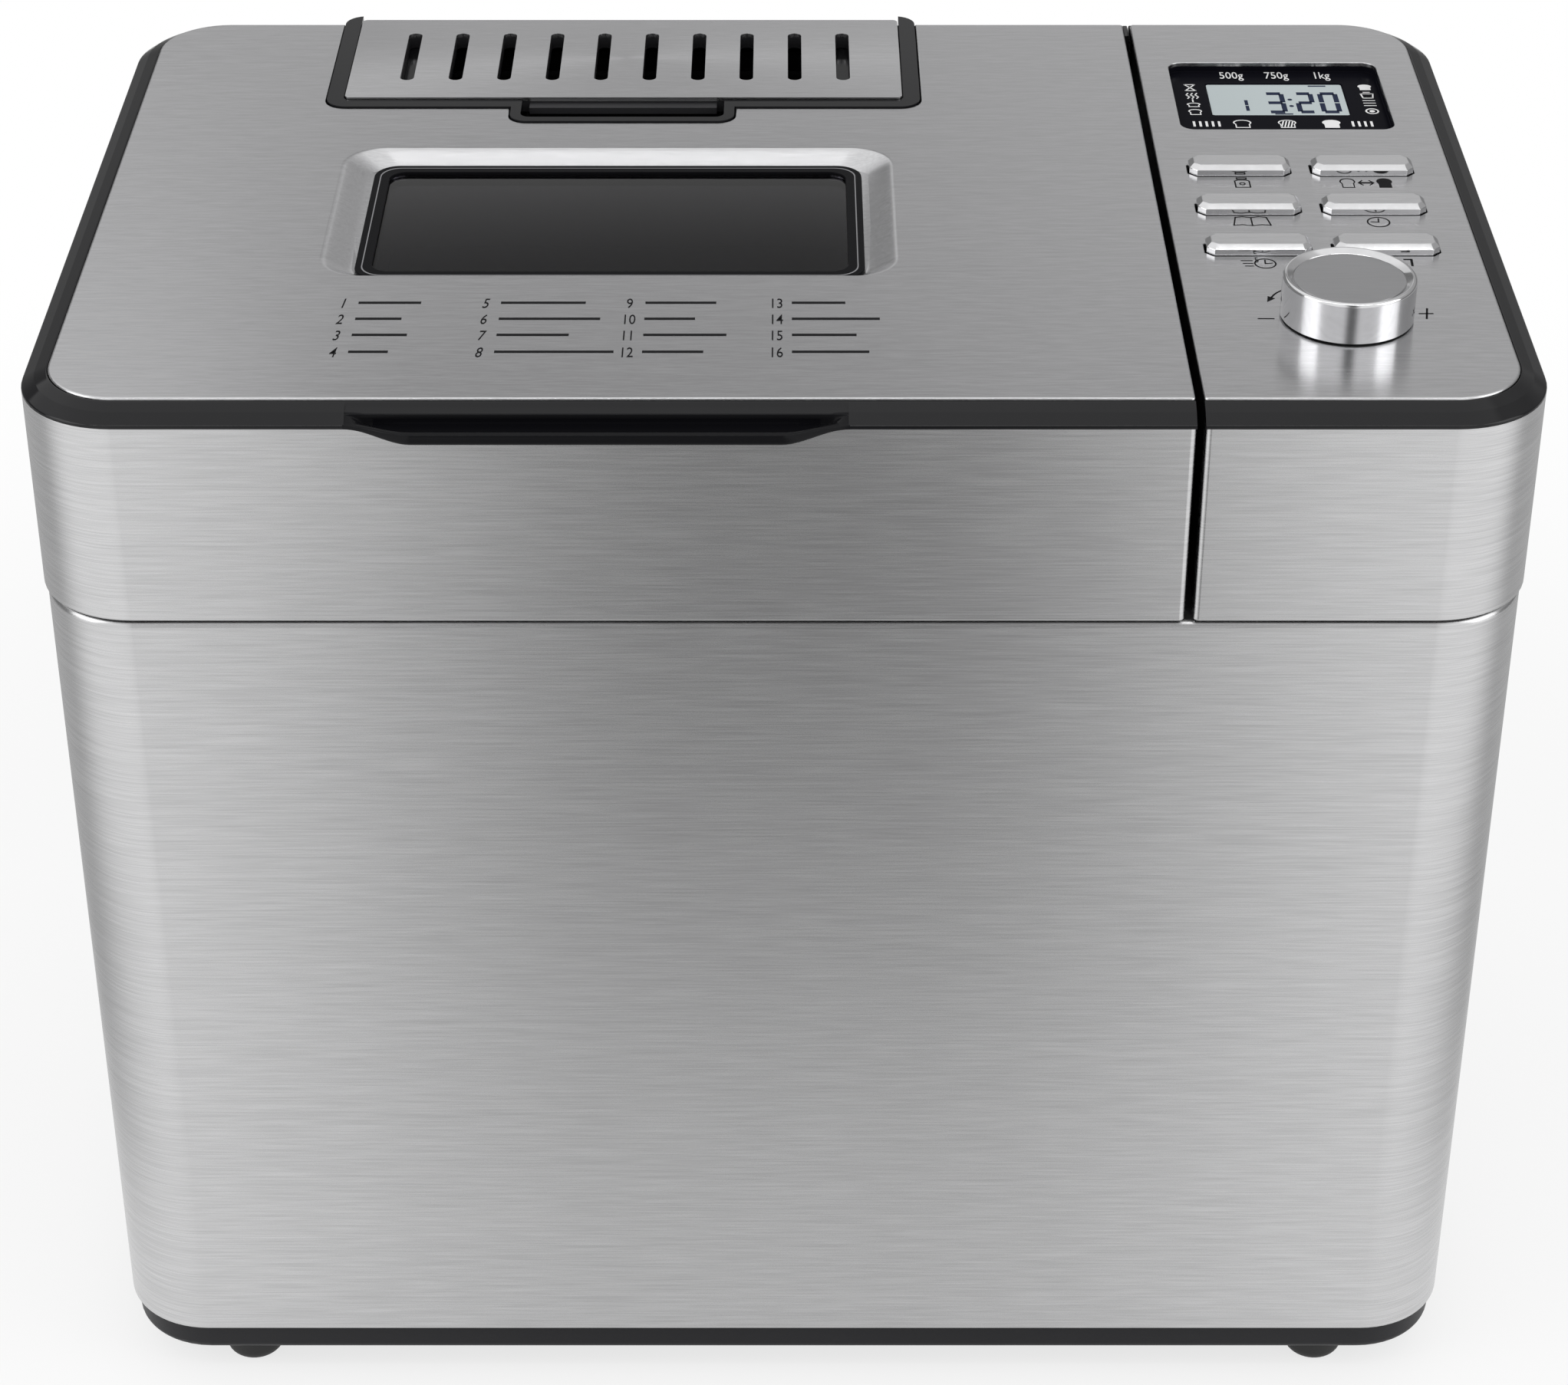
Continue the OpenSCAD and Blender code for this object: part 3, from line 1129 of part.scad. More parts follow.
// Tapered pan outline between the bottom and the top, set in by inset
module pan_form(inset, z0, z1) {
    hull() for (z = [z0, z1]) {
        t = (z - pan_z) / pan_h;
        w = pan_w / 2 - pan_taper / 2 * (1 - t) - inset;
        d = pan_d / 2 - pan_taper / 2 * (1 - t) - inset;
        slab(mid_x - w, mid_y - d, mid_x + w, mid_y + d, 22 - inset, 22 - inset, z, z + 0.01, $fn = 48);
    }
}
module bread_pan() color([0.25, 0.25, 0.26]) {
    difference() {
        pan_form(0, pan_z, pan_top);
        pan_form(pan_t, pan_z + 2, pan_top + over);
        translate([mid_x, mid_y, pan_z - over]) cylinder(h = 4 + over, r = 8 + seat);
    }
    edge_loop(mid_x - pan_w / 2 - bead_r / 2, mid_y - pan_d / 2 - bead_r / 2,
              mid_x + pan_w / 2 + bead_r / 2, mid_y + pan_d / 2 + bead_r / 2, 22 + bead_r / 2)
        translate([-bead_r / 2, pan_top]) circle(bead_r, $fn = 32);
    for (s = [-1, 1]) difference() {
        x0 = mid_x + s * ear_x - 1;
        block([x0, mid_y - 9, pan_top - 6], [x0 + 2, mid_y + 9, bail_z + 4]);
        rod_x(x0 - over, x0 + 2 + over, mid_y, bail_z, bail_wire_r + run);
    }
}
module pan_base() color([0.6, 0.6, 0.62]) translate([mid_x, mid_y, 0]) rotate_extrude() {
    translate([collar_r - collar_t, collar_z]) square([collar_t, pan_z - collar_z]);
    translate([pan_shaft_r + run, pan_z - 3]) square([socket_r + 2 - pan_shaft_r - run, 3]);
    translate([pan_shaft_r + run, pan_z - 3]) square([8 - pan_shaft_r - run, 5.5]);
}
// The bail: a wire bent in at the two ears, with a grip at its far end
bail_x = ear_x - 5;
bail_bend = 7;
bail_elbow = 3.4;
module bail_turn(x, y, r, start) {
    translate([x, y, 0]) rotate([0, 0, start]) rotate_extrude(angle = 90)
        translate([r, 0]) circle(bail_wire_r, $fn = 48);
}
module pan_handle() color([0.7, 0.7, 0.72]) translate([mid_x, mid_y, bail_z]) {
    pin_x = bail_x + bail_elbow;
    far = bail_r - bail_bend;
    rod_x(-ear_x - 3, -pin_x, 0, 0, bail_wire_r);
    rod_x(pin_x, ear_x + 3, 0, 0, bail_wire_r);
    bail_turn(-pin_x, -bail_elbow, bail_elbow, 0);
    bail_turn(pin_x, -bail_elbow, bail_elbow, 90);
    for (s = [-1, 1]) translate([s * bail_x, -bail_elbow, 0]) rotate([90, 0, 0])
        cylinder(h = far - bail_elbow, r = bail_wire_r);
    bail_turn(bail_bend - bail_x, -far, bail_bend, 180);
    bail_turn(bail_x - bail_bend, -far, bail_bend, 270);
    rod_x(-bail_x + bail_bend, bail_x - bail_bend, -bail_r, 0, bail_wire_r);
    rod_x(-34, 34, -bail_r, 0, bail_wire_r + 0.25);
}

module pan_shaft() color([0.75, 0.75, 0.78]) translate([mid_x, mid_y, 0]) {
    translate([0, 0, pan_pin_z]) cylinder(h = paddle_z + 18 - pan_pin_z, r = pan_shaft_r);
    translate([-4, -14, pan_pin_z]) cube([8, 28, 5]);
}
module paddle() color([0.3, 0.3, 0.31]) translate([mid_x, mid_y, paddle_z]) difference() {
    union() {
        cylinder(h = paddle_h - 4, r = 9);
        hull() {
            translate([4, 0, 0]) cylinder(h = paddle_h - 6, r = 4, $fn = 32);
            translate([paddle_l - 5, 6, 0]) cylinder(h = paddle_h - 12, r = 2.5, $fn = 32);
        }
        hull() {
            translate([0, 0, 0]) cylinder(h = 3, r = 8, $fn = 32);
            translate([paddle_l - 12, -6, 0]) cylinder(h = 2, r = 6, $fn = 32);
            translate([paddle_l - 6, 4, 0]) cylinder(h = 2, r = 3, $fn = 32);
        }
    }
    translate([0, 0, -over]) cylinder(h = 18.5 + over, r = pan_shaft_r + run);
}

body_wrap();
rear_panel();
base_tray();
feet();
deck_frame();
chassis_plate();
baking_chamber();
heating_element();
element_clips();
pan_socket();
pan_clips();
temperature_sensor();
drive_bearing();
drive_belt();
motor();
power_board();
cord_gland();
hinge_brackets();
control_skirt();
control_rim();
control_plate();
control_shell();
display_bezel();
display_lcd();
control_board();
encoder();
drive_shaft();
drive_pulley();
drive_coupler();
motor_shaft();
motor_pulley();
control_knob();
button_weight();
button_crust();
button_menu();
button_timer();
button_express();
button_start();
lid_skirt();
lid_rim();
lid_plate();
lid_handle();
lid_shell();
lid_liner();
lid_seal();
window_gasket();
window_panes();
hinge_knuckles();
dispenser_surround();
dispenser_box();
dispenser_solenoid();
flap_plate();
flap_frame();
trapdoor();
solenoid_plunger();
bread_pan();
pan_base();
pan_handle();
pan_shaft();
paddle();
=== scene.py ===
"""Dresses the bread machine: rolled steel skins, moulded trim, printed marks, finishes and a plain studio."""

import json
import logging
import math
from dataclasses import dataclass
from enum import Enum
from typing import Any, Iterable, Optional, Sequence, Union

import bmesh
import bpy
from mathutils import Matrix, Vector
from mathutils.geometry import tessellate_polygon

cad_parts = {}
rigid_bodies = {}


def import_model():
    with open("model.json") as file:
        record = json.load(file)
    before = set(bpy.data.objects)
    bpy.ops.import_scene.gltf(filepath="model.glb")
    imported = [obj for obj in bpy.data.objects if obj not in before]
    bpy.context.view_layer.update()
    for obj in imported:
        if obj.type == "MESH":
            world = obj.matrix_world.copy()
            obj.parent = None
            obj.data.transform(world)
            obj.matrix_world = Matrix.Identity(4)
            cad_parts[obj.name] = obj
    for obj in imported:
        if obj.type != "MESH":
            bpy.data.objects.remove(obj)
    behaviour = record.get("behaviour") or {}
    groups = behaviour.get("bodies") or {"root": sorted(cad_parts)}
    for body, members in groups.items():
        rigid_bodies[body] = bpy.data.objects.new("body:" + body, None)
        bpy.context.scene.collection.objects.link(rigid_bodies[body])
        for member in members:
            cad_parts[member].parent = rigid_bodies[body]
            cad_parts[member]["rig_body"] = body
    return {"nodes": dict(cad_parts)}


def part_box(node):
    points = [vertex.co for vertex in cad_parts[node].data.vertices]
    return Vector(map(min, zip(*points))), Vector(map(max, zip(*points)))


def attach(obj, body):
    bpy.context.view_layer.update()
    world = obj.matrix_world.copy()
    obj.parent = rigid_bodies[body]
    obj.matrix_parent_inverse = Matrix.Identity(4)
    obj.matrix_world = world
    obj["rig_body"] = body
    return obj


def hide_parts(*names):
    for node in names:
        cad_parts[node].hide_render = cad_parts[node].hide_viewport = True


LOG = logging.getLogger("bread_machine")
MM = 0.001

Colour = tuple[float, float, float]
Point = tuple[float, float]
Spot = tuple[float, float, float]
Operand = Union["Value", float]

BLACK: Colour = (0.0, 0.0, 0.0)
WHITE: Colour = (1.0, 1.0, 1.0)


# ---------------------------------------------------------------- shader maths


@dataclass(frozen=True)
class Value:
    """A socket that takes part in arithmetic; each operation adds one Math node."""

    graph: "Graph"
    socket: bpy.types.NodeSocket

    def _math(self, operation: str, *terms: Operand) -> "Value":
        """Adds a Math node over the given terms."""
        return self.graph.node("ShaderNodeMath", {"operation": operation}, dict(enumerate(terms)))

    def __add__(self, other: Operand) -> "Value":
        """Sum, with the number on either side."""
        return self._math("ADD", self, other)

    def __mul__(self, other: Operand) -> "Value":
        """Product, with the number on either side."""
        return self._math("MULTIPLY", self, other)

    def __sub__(self, other: Operand) -> "Value":
        """Difference."""
        return self._math("SUBTRACT", self, other)

    def __rsub__(self, other: Operand) -> "Value":
        """Difference from a number on the left."""
        return self._math("SUBTRACT", other, self)

    __radd__, __rmul__ = __add__, __mul__

    def size(self) -> "Value":
        """The value without its sign."""
        return self._math("ABSOLUTE", self)

    def clamp(self) -> "Value":
        """Limits the value to 0..1."""
        return self.graph.node("ShaderNodeClamp", {}, {0: self})

    def step(self, low: float, high: float) -> "Value":
        """Rises smoothly from 0 at low to 1 at high."""
        settings = {"interpolation_type": "SMOOTHSTEP"}
        return self.graph.node("ShaderNodeMapRange", settings, {0: self, 1: low, 2: high})


class Graph:
    """Builds one material's or the world's node tree."""

    def __init__(self, tree: bpy.types.NodeTree) -> None:
        """Empties the tree and starts over."""
        self.tree = tree
        tree.nodes.clear()

    def node(self, kind: str, settings: dict[str, Any], inputs: dict[Any, Any],
             out: Union[int, str] = 0) -> Value:
        """Adds a node of any type.

        Args:
            kind: Blender's type name of the node.
            settings: Properties, set before the sockets.
            inputs: Numbers, colours or links by socket name or index.
            out: The output that is wanted.

        Returns:
            The chosen output.
        """
        made = self.tree.nodes.new(kind)
        for key, value in settings.items():
            setattr(made, key, value)
        for key, value in inputs.items():
            target = made.inputs[key]
            if isinstance(value, Value):
                self.tree.links.new(value.socket, target)
            elif target.type == "RGBA" and len(value) == 3:
                target.default_value = (*value, 1.0)
            else:
                target.default_value = value
        return Value(self, made.outputs[out])

    def show(self, kind: str, surface: Value) -> None:
        """Leads a shader to an output node of the given type."""
        self.tree.links.new(surface.socket, self.tree.nodes.new(kind).inputs["Surface"])

    def noise(self, stretch: Spot, detail: float = 2.0, rough: float = 0.5) -> Value:
        """Gives fractal noise around 0.5.

        Args:
            stretch: Waves per metre along each axis.
            detail: Octaves of the noise.
            rough: Weight of the finer octaves.

        Returns:
            The noise value.
        """
        point = self.node("ShaderNodeTexCoord", {}, {}, "Object")
        stretched = self.node("ShaderNodeMapping", {}, {"Vector": point, "Scale": stretch})
        inputs = {"Vector": stretched, "Scale": 1.0, "Detail": detail, "Roughness": rough}
        return self.node("ShaderNodeTexNoise", {}, inputs)

    def blend(self, factor: Operand, low: Colour, high: Colour) -> Value:
        """Mixes two colours, low at 0 and high at 1; 6, 7 and 2 are the Mix node's colour sockets."""
        inputs = {"Factor": factor, 6: (*low, 1.0), 7: (*high, 1.0)}
        return self.node("ShaderNodeMix", {"data_type": "RGBA"}, inputs, 2)

    def axis(self, vector: Value, letter: str) -> Value:
        """Takes the X, Y or Z part of a vector."""
        return self.node("ShaderNodeSeparateXYZ", {}, {0: vector}, letter)

    def bump(self, height: Value, depth: float) -> Value:
        """Turns a height between 0 and 1 into a normal, where 1 stands for the depth in metres."""
        return self.node("ShaderNodeBump", {}, {"Height": height, "Distance": depth, "Strength": 1.0})

    def backdrop(self, kind: str, tone: Value) -> tuple[Value, Value, Value]:
        """Makes a light that is white to the camera and toned in mirrors and glass.

        Args:
            kind: Blender's type name of the light's node.
            tone: Brightness for reflections, from 0 to 1.

        Returns:
            The light, then 1 for every ray that should meet it, and 1 for the camera's own rays.
        """
        camera, glossy, through = (self.node("ShaderNodeLightPath", {}, {}, f"Is {ray} Ray")
                                   for ray in ("Camera", "Glossy", "Transmission"))
        grey = self.blend(camera + (1.0 - camera) * tone, BLACK, WHITE)
        return (self.node(kind, {}, {"Color": grey, "Strength": 1.0}),
                (camera + glossy + through).clamp(), camera)


def shade(colour: Colour, factor: float) -> Colour:
    """Multiplies a colour, kept under 1."""
    return tuple(min(1.0, c * factor) for c in colour)


# ---------------------------------------------------------------- finishes

MADE: dict["Finish", bpy.types.Material] = {}


@dataclass(frozen=True)
class Finish:
    """A surface finish; its material is made once and shared."""

    name: str
    colour: Colour

    def material(self) -> bpy.types.Material:
        """Gives the finish's material, building it on first use.

        Returns:
            The material.
        """
        made = MADE.get(self)
        if made is None:
            made = MADE[self] = bpy.data.materials.new(f"{self.name}_finish")
            made.use_nodes = True
            graph = Graph(made.node_tree)
            graph.show("ShaderNodeOutputMaterial", self.surface(graph))
            made.diffuse_color = (*self.colour, 1.0)
        return made

    def drift(self, graph: Graph, factor: Value, share: float) -> Value:
        """Lets the colour vary by a share of itself to both sides."""
        return graph.blend(factor, shade(self.colour, 1.0 - share), shade(self.colour, 1.0 + share))

    def surface(self, graph: Graph) -> Value:
        """Builds the shader in the material's graph and returns it."""
        raise NotImplementedError


@dataclass(frozen=True)
class Moulded(Finish):
    """Moulded plastic or rubber: fine grain, faint colour drift and handling marks in the gloss."""

    roughness: float
    grain: float
    grain_depth: float
    gloss_drift: float = 0.05
    bending: float = 1.5
    colour_drift: float = 0.14

    def surface(self, graph: Graph) -> Value:
        """Builds the plastic.

        Args:
            graph: The material's graph.

        Returns:
            The shader.
        """
        broad = graph.noise((14.0, 14.0, 14.0), 3.0)
        fine = graph.noise((self.grain, self.grain, self.grain))
        return graph.node("ShaderNodeBsdfPrincipled", {}, {
            "Base Color": self.drift(graph, broad, self.colour_drift),
            "Roughness": (self.roughness - self.gloss_drift / 2) + self.gloss_drift * broad,
            "Normal": graph.bump(fine, self.grain_depth),
            "IOR": self.bending,
        })


class Grain(Enum):
    """The way a metal's brush marks run, as waves per metre along each axis."""

    LEVEL = (46.0, 46.0, 2300.0)
    ALONG_WIDTH = (120.0, 2300.0, 2300.0)
    NONE = (260.0, 260.0, 260.0)


@dataclass(frozen=True)
class Steel(Finish):
    """Bare metal: brush marks in colour, gloss and relief, drawn out along the grain."""

    roughness: float
    grain: Grain
    spread: float
    streak: float
    relief: float = 4e-6
    spread_turn: float = 0.25

    def surface(self, graph: Graph) -> Value:
        """Builds the metal.

        Args:
            graph: The material's graph.

        Returns:
            The shader.
        """
        x, y, z = self.grain.value
        fine = graph.noise((x, y, z), 3.0, 0.6)
        medium = graph.noise((x * 0.12, y * 0.3, z * 0.3))
        broad = graph.noise((7.0, 7.0, 7.0))
        marks = 0.8 * fine + 0.2 * medium
        return graph.node("ShaderNodeBsdfPrincipled", {}, {
            "Base Color": self.drift(graph, marks.step(0.25, 0.75), self.streak),
            "Metallic": 1.0,
            "Roughness": (self.roughness - 0.06) + 0.08 * marks + 0.04 * broad,
            "Normal": graph.bump(fine, self.relief),
            "Anisotropic": self.spread,
            "Anisotropic Rotation": self.spread_turn,
        })


@dataclass(frozen=True)
class Glass(Finish):
    """Tinted window glass."""

    roughness: float
    smear: float = 0.04
    bending: float = 1.5

    def surface(self, graph: Graph) -> Value:
        """Builds the glass.

        Args:
            graph: The material's graph.

        Returns:
            The shader.
        """
        return graph.node("ShaderNodeBsdfPrincipled", {}, {
            "Base Color": self.colour,
            "Roughness": self.roughness + self.smear * graph.noise((9.0, 22.0, 9.0), 3.0),
            "Transmission Weight": 1.0,
            "IOR": self.bending,
        })


@dataclass(frozen=True)
class Floor(Finish):
    """Studio floor: white to the camera, graded in reflections, with the object's shadow kept near it.

    The pairs are ranges in metres from the middle, and a shade is what its patch loses of full white.
    """

    reach: Point = (0.34, 0.7)
    front_shade: float = 0.84
    front_width: Point = (0.03, 0.26)
    front_depth: Point = (0.14, 0.6)
    front_taper: float = 0.16
    near_share: float = 0.4
    back_shade: float = 0.52
    back_width: Point = (0.17, 0.36)
    back_depth: Point = (-0.38, 0.02)
    white_near: float = 0.74
    white_mirrored: float = 0.92
    wear: float = 0.985

    def surface(self, graph: Graph) -> Value:
        """Builds the floor.

        Args:
            graph: The material's graph.

        Returns:
            The shader.
        """
        worn = graph.blend(graph.noise((3.0, 3.0, 3.0)), shade(self.colour, self.wear), self.colour)
        plain = graph.node("ShaderNodeBsdfDiffuse", {}, {"Color": worn})
        point = graph.node("ShaderNodeTexCoord", {}, {}, "Object")
        distance = graph.node("ShaderNodeVectorMath", {"operation": "LENGTH"}, {0: point}, "Value")
        far = distance.step(*self.reach)
        side, along = graph.axis(point, "X").size(), graph.axis(point, "Y")
        depth = (0.0 - along).step(*self.front_depth)
        middle = 1.0 - (side * (1.0 - self.front_taper * depth)).step(*self.front_width)
        behind = along.step(*self.back_depth) * side.step(*self.back_width)
        ahead = self.front_shade * middle * (self.near_share + (1.0 - self.near_share) * depth)
        white, seen, camera = graph.backdrop("ShaderNodeEmission", 1.0 - ahead - self.back_shade * behind)
        share = camera * (self.white_near + (1.0 - self.white_near) * far)
        share += (seen - camera) * self.white_mirrored
        return graph.node("ShaderNodeMixShader", {}, {0: share, 1: plain, 2: white})


STUDIO_FLOOR = Floor("studio_floor", (0.9, 0.9, 0.9))
# Metal seen on the outside
FRONT_STEEL = Steel("brushed_steel", (0.62, 0.62, 0.625), 0.27, Grain.LEVEL, 0.7, 0.12, 6e-6)
TOP_STEEL = Steel("brushed_steel_top", (0.62, 0.62, 0.63), 0.23, Grain.ALONG_WIDTH, 0.7, 0.07)
BRIGHT_METAL = Steel("knob_metal", (0.72, 0.72, 0.73), 0.1, Grain.NONE, 0.0, 0.03, 1e-6)
SATIN_METAL = Steel("button_metal", (0.76, 0.76, 0.77), 0.24, Grain.ALONG_WIDTH, 0.5, 0.05)
KNOB_DISC = Steel("knob_disc", (0.45, 0.45, 0.46), 0.3, Grain.ALONG_WIDTH, 0.6, 0.04)
# Metal inside
COATED_STEEL = Steel("coated_steel", (0.40, 0.40, 0.41), 0.42, Grain.NONE, 0.0, 0.1)
MILL_STEEL = Steel("plain_steel", (0.56, 0.57, 0.58), 0.36, Grain.ALONG_WIDTH, 0.3, 0.1)
GROUND_STEEL = Steel("shaft_steel", (0.62, 0.62, 0.63), 0.2, Grain.LEVEL, 0.4, 0.06)
TUBE_STEEL = Steel("tube_steel", (0.24, 0.22, 0.21), 0.45, Grain.NONE, 0.0, 0.2)
MOTOR_CAN = Steel("motor_can", (0.36, 0.37, 0.38), 0.38, Grain.LEVEL, 0.3, 0.1)
PAN_METAL = Steel("pan_metal", (0.50, 0.50, 0.51), 0.34, Grain.NONE, 0.0, 0.08)
# Painted and coated sheet, plastics and glass
REAR_STEEL = Moulded("rear_steel", (0.018, 0.018, 0.02), 0.42, 700.0, 4e-5)
PAN_COATING = Moulded("pan_coating", (0.035, 0.035, 0.037), 0.36, 1800.0, 6e-6)
BLACK_RIM = Moulded("black_rim", (0.007, 0.007, 0.008), 0.08, 500.0, 3e-6, 0.03, 1.38)
BLACK_TRIM = Moulded("black_trim", (0.007, 0.007, 0.008), 0.12, 500.0, 4e-6, 0.04, 1.22)
BLACK_SHELL = Moulded("black_shell", (0.022, 0.022, 0.024), 0.38, 900.0, 3e-5)
BLACK_PANEL = Moulded("black_panel", (0.006, 0.006, 0.009), 0.2, 400.0, 3e-6, 0.05, 1.05)
# Matt black for the sheet laid in the lid handle's recess as painted shade
PAINTED_SHADE_BLACK = Moulded("painted_shade_black", (0.004, 0.004, 0.005), 0.35, 700.0, 1e-5, 0.04, 1.06)
GREY_BASE = Moulded("grey_base", (0.018, 0.018, 0.02), 0.42, 900.0, 3e-5, 0.05, 1.3)
NYLON = Moulded("pulley_nylon", (0.62, 0.61, 0.57), 0.45, 700.0, 2e-5)
BOARD = Moulded("board", (0.03, 0.16, 0.07), 0.4, 600.0, 2e-5)
DISPLAY = Moulded("display", (0.50, 0.56, 0.57), 0.2, 600.0, 2e-6, 0.05, 1.2)
# A pale grey for the ring at the glass's edge: painted highlight for light caught by the bevel
GLASS_EDGE_HIGHLIGHT = Moulded("glass_edge_highlight", (0.22, 0.22, 0.23), 0.3, 600.0, 2e-6)
PANE = Glass("glass", (0.17, 0.165, 0.19), 0.02)
# Rubbers
GASKET = Moulded("gasket", (0.006, 0.006, 0.007), 0.3, 800.0, 1e-5, 0.05, 1.1)
SEAL = Moulded("seal", (0.42, 0.10, 0.05), 0.5, 600.0, 3e-5)
FOOT_RUBBER = Moulded("foot_rubber", (0.012, 0.012, 0.012), 0.6, 900.0, 5e-5)
BELT_RUBBER = Moulded("belt", (0.016, 0.016, 0.016), 0.62, 1500.0, 6e-5)
# Inks
DARK_INK = Moulded("dark_ink", (0.012, 0.012, 0.013), 0.5, 900.0, 2e-6, 0.05, 1.1)
WHITE_INK = Moulded("white_ink", (0.85, 0.85, 0.85), 0.5, 900.0, 2e-6)
DIGIT_INK = Moulded("digit_ink", (0.02, 0.028, 0.06), 0.4, 900.0, 2e-6, 0.05, 1.1)

NODE_FINISHES: dict[Finish, str] = {
    FRONT_STEEL: "body_wrap lid_skirt control_skirt",
    TOP_STEEL: "lid_plate control_plate flap_plate",
    BRIGHT_METAL: "control_knob",
    SATIN_METAL: "button_weight button_crust button_menu button_timer button_express button_start",
    COATED_STEEL: "baking_chamber lid_liner",
    MILL_STEEL: ("chassis_plate element_clips pan_socket pan_clips temperature_sensor drive_bearing "
                 "drive_coupler encoder"),
    GROUND_STEEL: "drive_shaft motor_shaft solenoid_plunger pan_handle pan_shaft",
    TUBE_STEEL: "heating_element",
    MOTOR_CAN: "motor dispenser_solenoid",
    PAN_METAL: "pan_base",
    REAR_STEEL: "rear_panel",
    PAN_COATING: "bread_pan paddle",
    BLACK_RIM: "lid_rim control_rim",
    BLACK_TRIM: "lid_handle dispenser_surround",
    BLACK_SHELL: ("deck_frame cord_gland hinge_brackets hinge_knuckles control_shell lid_shell "
                  "dispenser_box flap_frame trapdoor"),
    BLACK_PANEL: "display_bezel",
    GREY_BASE: "base_tray",
    NYLON: "drive_pulley motor_pulley",
    BOARD: "power_board control_board",
    DISPLAY: "display_lcd",
    PANE: "window_panes",
    GASKET: "window_gasket",
    SEAL: "lid_seal",
    FOOT_RUBBER: "feet",
    BELT_RUBBER: "drive_belt",
}


# ---------------------------------------------------------------- outlines and meshes


@dataclass(frozen=True)
class Block:
    """A node's lowest and highest corners in millimetres."""

    lo: Vector
    hi: Vector

    @classmethod
    def of(cls, node: str) -> "Block":
        """Reads a node's block from the frame."""
        lo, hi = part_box(node)
        return cls(Vector(lo) / MM, Vector(hi) / MM)

    @property
    def mid(self) -> Vector:
        """The block's middle."""
        return (self.lo + self.hi) / 2

    @property
    def half(self) -> Vector:
        """Half the block's size."""
        return (self.hi - self.lo) / 2


@dataclass(frozen=True)
class Station:
    """One point of an outline and the way that outwards lies there."""

    at: Vector
    out: Vector

    def grown(self, amount: float) -> Point:
        """Moves the point outwards."""
        moved = self.at + self.out * amount
        return moved.x, moved.y


class Outline:
    """A path in plan with rounded corners, walked with outwards on its right."""

    def __init__(self, corners: Sequence[Spot], closed: bool = True, steps: int = 6) -> None:
        """Rounds the corners.

        Args:
            corners: Each corner's x, y and radius, anticlockwise for a closed shape.
            closed: Whether the last corner leads back to the first.
            steps: Steps in which a corner is rounded.
        """
        self.closed = closed
        self.stations: list[Station] = []
        count = len(corners)
        for i, (x, y, radius) in enumerate(corners):
            here = Vector((x, y))
            if not closed and i in (0, count - 1):
                other = Vector(corners[1 if i == 0 else count - 2][:2])
                along = (other - here).normalized() * (1 if i == 0 else -1)
                self.stations.append(Station(here, Vector((along.y, -along.x))))
                continue
            before = (here - Vector(corners[i - 1][:2])).normalized()
            after = (Vector(corners[(i + 1) % count][:2]) - here).normalized()
            self._corner(here, before, after, radius, steps)

    def _corner(self, here: Vector, before: Vector, after: Vector, radius: float, steps: int) -> None:
        """Adds one corner's stations.

        Args:
            here: The corner.
            before: Direction of the run that leads to it.
            after: Direction of the run that leaves it.
            radius: Radius of the arc, or 0 for a mitre.
            steps: Steps of the arc.
        """
        first, last = Vector((before.y, -before.x)), Vector((after.y, -after.x))
        turn = math.atan2(before.cross(after), before.dot(after))
        if radius <= 0 or abs(turn) < 1e-6:
            self.stations.append(Station(here, (first + last) / (1 + first.dot(last))))
            return
        reach = radius * math.tan(abs(turn) / 2)
        side = 1 if turn > 0 else -1
        centre = here - before * reach - first * radius * side
        start = math.atan2(first.y, first.x)
        for k in range(steps + 1):
            angle = start + turn * k / steps
            out = Vector((math.cos(angle), math.sin(angle)))
            self.stations.append(Station(centre + out * radius * side, out))

    @classmethod
    def rounded(cls, lo: Point, hi: Point, radii: Sequence[float], steps: int) -> "Outline":
        """Makes a rectangle with its own radius at front left, front right, back right and back left."""
        places = ((lo[0], lo[1]), (hi[0], lo[1]), (hi[0], hi[1]), (lo[0], hi[1]))
        return cls([(x, y, r) for (x, y), r in zip(places, radii)], True, steps)

    @classmethod
    def inside(cls, box: Block, side: float, end: float, radius: float, steps: int) -> "Outline":
        """Makes a rectangle in from a block's sides and in from its front and back."""
        return cls.rounded((box.lo.x + side, box.lo.y + end), (box.hi.x - side, box.hi.y - end),
                           [radius] * 4, steps)

    def points(self, grow: float = 0.0) -> list[Point]:
        """The outline's points, moved outwards."""
        return [station.grown(grow) for station in self.stations]


def arc(radius: float, steps: int = 4) -> list[Point]:
    """A quarter round as (inwards, up) pairs, from an upright face to a level one."""
    turns = [math.pi / 2 * k / steps for k in range(steps + 1)]
    return [(radius * (1 - math.cos(t)), radius * math.sin(t)) for t in turns]


def circle(centre: Point, radius: float, steps: int) -> list[Point]:
    """The points of a circle."""
    turns = [2 * math.pi * k / steps for k in range(steps)]
    return [(centre[0] + radius * math.cos(t), centre[1] + radius * math.sin(t)) for t in turns]


def smooth_chain(points: Sequence[Sequence[float]], steps: int) -> list[tuple[float, ...]]:
    """Runs a smooth curve through points.

    Args:
        points: The points, of any dimension.
        steps: Steps between two points.

    Returns:
        The finer chain of points.
    """
    ends = [points[0], *points, points[-1]]
    chain = []
    for a, b, c, d in zip(ends, ends[1:], ends[2:], ends[3:]):
        for k in range(steps):
            t = k / steps
            chain.append(tuple(
                0.5 * (2 * q + (r - p) * t + (2 * p - 5 * q + 4 * r - s) * t * t
                       + (3 * q - p - 3 * r + s) * t ** 3) for p, q, r, s in zip(a, b, c, d)))
    return chain + [tuple(points[-1])]


